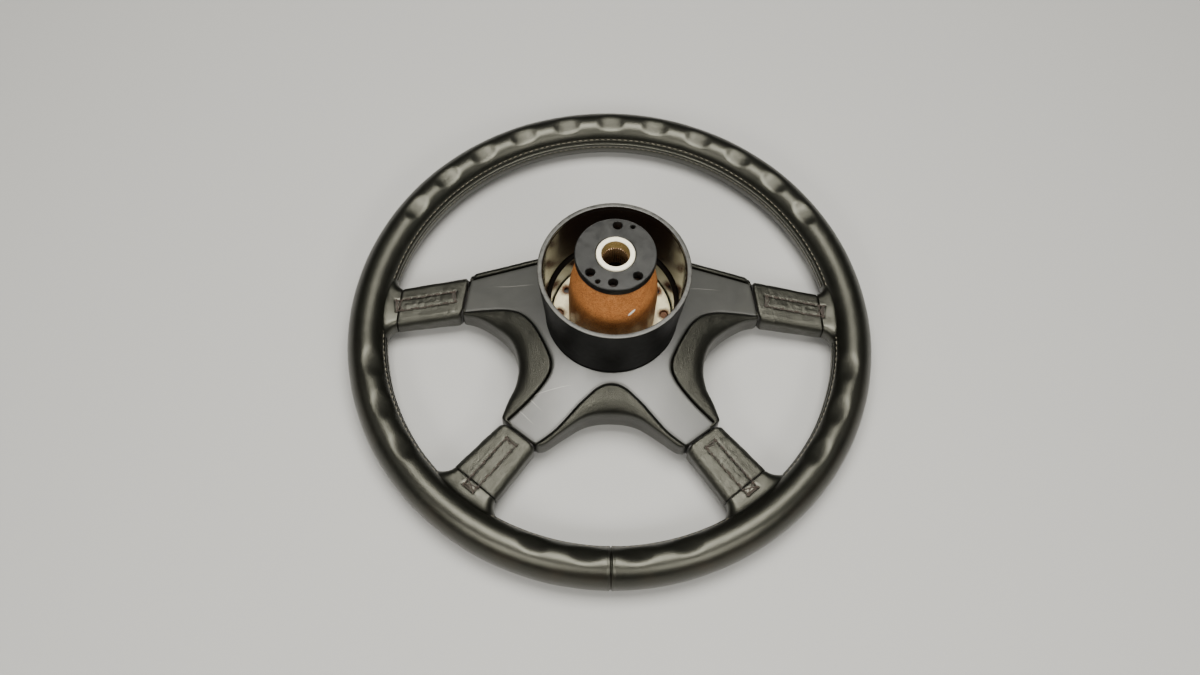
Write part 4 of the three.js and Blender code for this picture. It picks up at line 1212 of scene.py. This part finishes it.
disc = holed_plate("contact_disc_plate", 26.5, 13.05, [(*polar(d, r), h) for d, r, h in ((86.3, 21.4, 3), (-139.9, 21.3, 3), (-94.5, 21.1, 3), (-48.3, 21.3, 3), (61.3, 23.3, 1.5), (-119.4, 23.3, 1.5))],
                   121.6, 128.6, 0.5, M_DISC, replaces=["contact_disc"], slot="disc_plastic")
flange = holed_plate("boss_flange_plate", 42.0, 26.0, [(*polar(30 * i, 37.0), 2.2 if i % 2 else 2.95) for i in range(12)],
                     41.35, 44.35, 0.35, M_FLANGE, replaces=["boss_flange"], slot="flange_steel")

# ------------------------------------------------------------------------------ boss
bell_profile = soften([(30.2, 44.7), (30.4, 80), (28.8, 96.5), (25.4, 110), (21, 118.4), (13.05, 120.6), (13.05, 118.6), (20, 116.4), (23.5, 109), (26.8, 96), (28.4, 80), (28.2, 44.7)],
                      {0: 0.5, 1: 7, 2: 6, 3: 5, 4: 3.0, 5: 0.3, 7: 3, 8: 4, 9: 6, 10: 7}, 6)
bell = lathe("boss_bell_shell", bell_profile, M_BELL, 160, replaces=["boss_bell"], slot="bell_coat")

# splined sleeve
NT = 36
seg = NT * 10
ring_defs = [(12.7, 101.6, 0, 0), (12.7, 128.3, 0, 0), (12.35, 128.9, 0, 0), (9.65, 128.9, 0, 0), (9.32, 128.55, 0, 0), (9.3, 121.6, 0, 1), (9.3, 120.4, 0, 1),
             (9.3, 119.9, 1, 2), (9.3, 101.8, 1, 2), (9.8, 101.0, 0.4, 2), (12.2, 101.0, 0, 0)]
verts, fm = [], []
for r, z, tooth, _ in ring_defs:
    for i in range(seg):
        ph = (i / 10) % 1.0
        cut = tooth * 0.62 * (smooth(0.30, 0.42, ph) - smooth(0.88, 1.0, ph))
        rr = r - cut
        a = TAU * i / seg
        verts.append((rr * math.cos(a), rr * math.sin(a), z))
faces = grid_faces(len(ring_defs), seg, close_n=True)
mats_by_ring = [0, 0, 0, 0, 1, 1, 2, 2, 2, 0, 0]
face_m = [mats_by_ring[i // seg] for i in range(len(faces))]
sleeve_o = make("hub_sleeve_splined", verts, faces, [M_SLEEVE_FACE, M_SLEEVE_BORE, M_SPLINE], replaces=["hub_sleeve"], slot="sleeve_steel", sharp=28, face_mats=face_m)
fix_normals(sleeve_o)

# bolts: hexagon head with chamfer, threaded shank
for i in range(6):
    cx, cy = polar(60 * i, 37.0)
    verts, faces = [], []
    n = 48
    hexr = lambda a, r: r / max(math.cos(((a + math.pi / 6) % (math.pi / 3)) - math.pi / 6), 0.5) * math.cos(math.pi / 6)
    rings = [("h", 3.6, 34.45), ("h", 4.3, 34.6), ("h", 4.6, 35.1), ("h", 4.6, 37.6), ("h", 2.7, 37.65)]
    z = 37.7
    while z < 42.7:
        rings += [("c", 2.35, z), ("c", 2.6, z + 0.25)]
        z += 0.5
    rings += [("c", 2.5, 43.0), ("c", 2.1, 43.35), ("c", 0.05, 43.3)]
    for kd, r, z in rings:
        for k in range(n):
            a = TAU * k / n
            rr = min(hexr(a, r), 4.55) if kd == "h" and r > 3 else r
            verts.append((cx + rr * math.cos(a), cy + rr * math.sin(a), z))
    faces = grid_faces(len(rings), n, close_n=False)
    faces.append(tuple(range(n)))
    faces.append(tuple((len(rings) - 1) * n + k for k in range(n)))
    o = make(f"bolt_{i + 1}", verts, faces, M_BOLT, replaces=[f"boss_bolt_{i + 1}"], slot="bolt_steel", sharp=25)
    fix_normals(o)

# ------------------------------------------------------------------------------ collar
seat = dish(44) + 0.35
outer = [(46.8, seat), (46.35, seat + 2.0), (46.6, seat + 5), (51.1, 109.2)]
inner = [(47.8, 109.2), (47.75, 106.6), (47.35, 106.2), (44.9, 66), (42.5, 64.6), (42.5, 42.75), (43.8, 42.75), (43.8, seat)]
prof = soften(outer + inner, {0: 0.5, 1: 0.4, 2: 1.5, 3: 0.9, 4: 0.8, 5: 0.2, 6: 0.2, 7: 0.7, 8: 0.8, 9: 0.3}, 5)
segs = 192
verts = [(r * math.cos(TAU * i / segs), r * math.sin(TAU * i / segs), z) for i in range(segs) for r, z in prof]
m = len(prof)
faces = grid_faces(segs, m)
fm = []
for i in range(segs):
    for j in range(m):
        (r1, z1), (r2, z2) = prof[j], prof[(j + 1) % m]
        zc, rc = (z1 + z2) / 2, (r1 + r2) / 2
        outer_r = 46.5 + (zc - seat) * 4.6 / 62
        if zc > 108.85:
            fm.append(2)
        elif rc > outer_r - 0.9:
            fm.append(0)
        else:
            fm.append(1)
collar = make("boss_collar_tube", verts, faces, [M_COLLAR, M_COLLAR_IN, M_COLLAR_EDGE], replaces=["boss_collar"], slot="collar_plastic", sharp=30, face_mats=fm)
fix_normals(collar)

# ------------------------------------------------------------------------------ horn push, on the front
button_prof = soften([(0.01, 4.2), (12, 4.35), (18.2, 4.8), (19.0, 5.35), (19.8, 5.0), (26, 6.4), (28.4, 8.6), (28.4, 19.2), (30.2, 19.2), (30.2, 20.6), (26.8, 20.6), (26.8, 9.8), (20, 7.6), (0.01, 6.8)],
                     {1: 2, 2: 0.3, 3: 0.3, 4: 0.3, 5: 2.2, 6: 1.2, 7: 0.2, 8: 0.2, 9: 0.2, 10: 0.2, 11: 1, 12: 2}, 5)
button = lathe("horn_button_cap", button_prof, M_HORN, 128, body="horn_push", replaces=["horn_button"], slot="button_plastic")
fix_normals(button)
bezel_prof = soften([(28.8, 6.9), (29.6, 6.6), (34.6, 6.6), (36, 7.3), (36, 7.65), (32.65, 7.65), (32.65, 18.8), (28.8, 18.8)], {0: 0.3, 1: 0.5, 2: 1.0, 3: 0.3, 4: 0.1, 6: 0.3, 7: 0.3}, 4)
bezel = lathe("horn_bezel_ring", bezel_prof, M_BEZEL, 128, replaces=["horn_bezel"], slot="bezel_plastic")
fix_normals(bezel)

verts, faces = [], []
pts, turns, n = [], 5.0, 300
for k in range(n + 1):
    t = k / n
    # closed end turns
    ease = t + 0.055 * math.sin(TAU * t) * -1.0
    z = 8.2 + (30.8 - 8.2) * (0.5 - 0.5 * math.cos(math.pi * t)) * 0.18 + (30.8 - 8.2) * t * 0.82
    a = TAU * turns * t
    pts.append((9.5 * math.cos(a), 9.5 * math.sin(a), z))
tube_into(verts, faces, pts, 0.6, 10)
spring = make("horn_spring_coil", verts, faces, M_SPRING, body="wheel", replaces=["horn_spring"], slot="spring_steel", sharp=0)
fix_normals(spring)
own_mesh(spring)

# ------------------------------------------------------------------------------ CAD nodes that stay
for names, mat in ((["rim_core_ring"], M_CORE), (["spider_plate"], M_SPIDER), ([f"spoke_foam_{t}" for t, _, _ in SIDES], M_FOAM),
                   (["horn_housing"], M_HOUSING), (["horn_insulator"], M_BOARD), (["horn_contact_moving", "horn_contact_fixed", "horn_terminal"], M_BRASS)):
    for nm in names:
        o = NODES[nm]
        if o.material_slots:
            for s in o.material_slots:
                s.material = mat
        else:
            o.data.materials.append(mat)

for o in list(sleeves.values()) + list(flares.values()) + [pad]:
    o.data.set_sharp_from_angle(angle=math.radians(60))

# ------------------------------------------------------------------------------ floor, light, camera
me = bpy.data.meshes.new("floor")
S = 4.0
me.from_pydata([(-S, -S, -0.0003), (S, -S, -0.0003), (S, S, -0.0003), (-S, S, -0.0003)], [], [(0, 1, 2, 3)])
fl = bpy.data.objects.new("floor", me)
bpy.context.scene.collection.objects.link(fl)
fm_ = Mat("floor_pale", (0.36, 0.36, 0.356), 0.8)
fm_.set("Roughness", fm_.math("MULTIPLY_ADD", fm_.noise(300, 2), 0.1, 0.75))
me.materials.append(fm_.m)

world = bpy.data.worlds.new("studio")
bpy.context.scene.world = world
world.use_nodes = True
world.node_tree.nodes["Background"].inputs[0].default_value = (0.80, 0.80, 0.78, 1)
world.node_tree.nodes["Background"].inputs[1].default_value = 0.035


def area(name, loc, target, size, power, color=(1, 1, 1), size_y=None):
    ld = bpy.data.lights.new(name, "AREA")
    ld.energy = power
    ld.color = color
    ld.shape = "RECTANGLE"
    ld.size, ld.size_y = size, size_y or size
    lo = bpy.data.objects.new(name, ld)
    bpy.context.scene.collection.objects.link(lo)
    lo.location = loc
    lo.rotation_euler = (Vector(target) - Vector(loc)).to_track_quat("-Z", "Y").to_euler()
    return lo


WARM = (1.0, 0.975, 0.905)
area("key_top", (0.02, 0.10, 1.3), (0.02, 0.10, 0.0), 0.85, 34, WARM, 0.66)
area("key_front_left", (-0.80, -1.25, 1.3), (-0.6, -0.9, 0.0), 0.80, 21, WARM, 0.60)
area("key_front_right", (0.80, -1.25, 1.3), (0.6, -0.9, 0.0), 0.80, 21, WARM, 0.60)
area("fill_left", (-1.3, -0.1, 1.1), (0, 0, 0.03), 0.7, 1.1, (0.98, 0.98, 0.95), 0.6)
area("fill_right", (1.3, -0.1, 1.1), (0, 0, 0.03), 0.7, 1.1, (0.98, 0.98, 0.95), 0.6)
area("back", (0.0, 1.25, 1.3), (0.0, 1.25, 0.0), 2.6, 2, (0.98, 0.98, 0.95), 0.9)
mid = area("key_front_mid", (0.0, -1.22, 1.3), (0.0, -0.62, 0.0), 0.95, 0.8, WARM, 0.40)
mid.data.spread = math.radians(40)

yaw, pitch, roll_, fpx = -0.0417, 1.1203, 0.0504, 1122.8
tx, ty, D = -7.58, -5.34, 818.6
back = np.array([math.sin(yaw) * math.cos(pitch), -math.cos(yaw) * math.cos(pitch), math.sin(pitch)])
right = np.array([math.cos(yaw), math.sin(yaw), 0.0])
up = np.cross(back, right)
c_, s_ = math.cos(roll_), math.sin(roll_)
Rm = np.array([[c_, s_, 0], [-s_, c_, 0], [0, 0, 1]]) @ np.array([right, up, back])
C = (np.array([tx, ty, 0.0]) + back * D + np.array([0, 0, 16.0])) * 0.001
cam = bpy.data.cameras.new("photo_camera")
cam.sensor_fit = "HORIZONTAL"
cam.sensor_width = 36.0
cam.lens = fpx / 1200 * 36.0
cam.clip_start, cam.clip_end = 0.01, 50
co = bpy.data.objects.new("photo_camera", cam)
bpy.context.scene.collection.objects.link(co)
co.matrix_world = Matrix([[Rm[0][0], Rm[1][0], Rm[2][0], C[0]], [Rm[0][1], Rm[1][1], Rm[2][1], C[1]], [Rm[0][2], Rm[1][2], Rm[2][2], C[2]], [0, 0, 0, 1]])
bpy.context.scene.camera = co
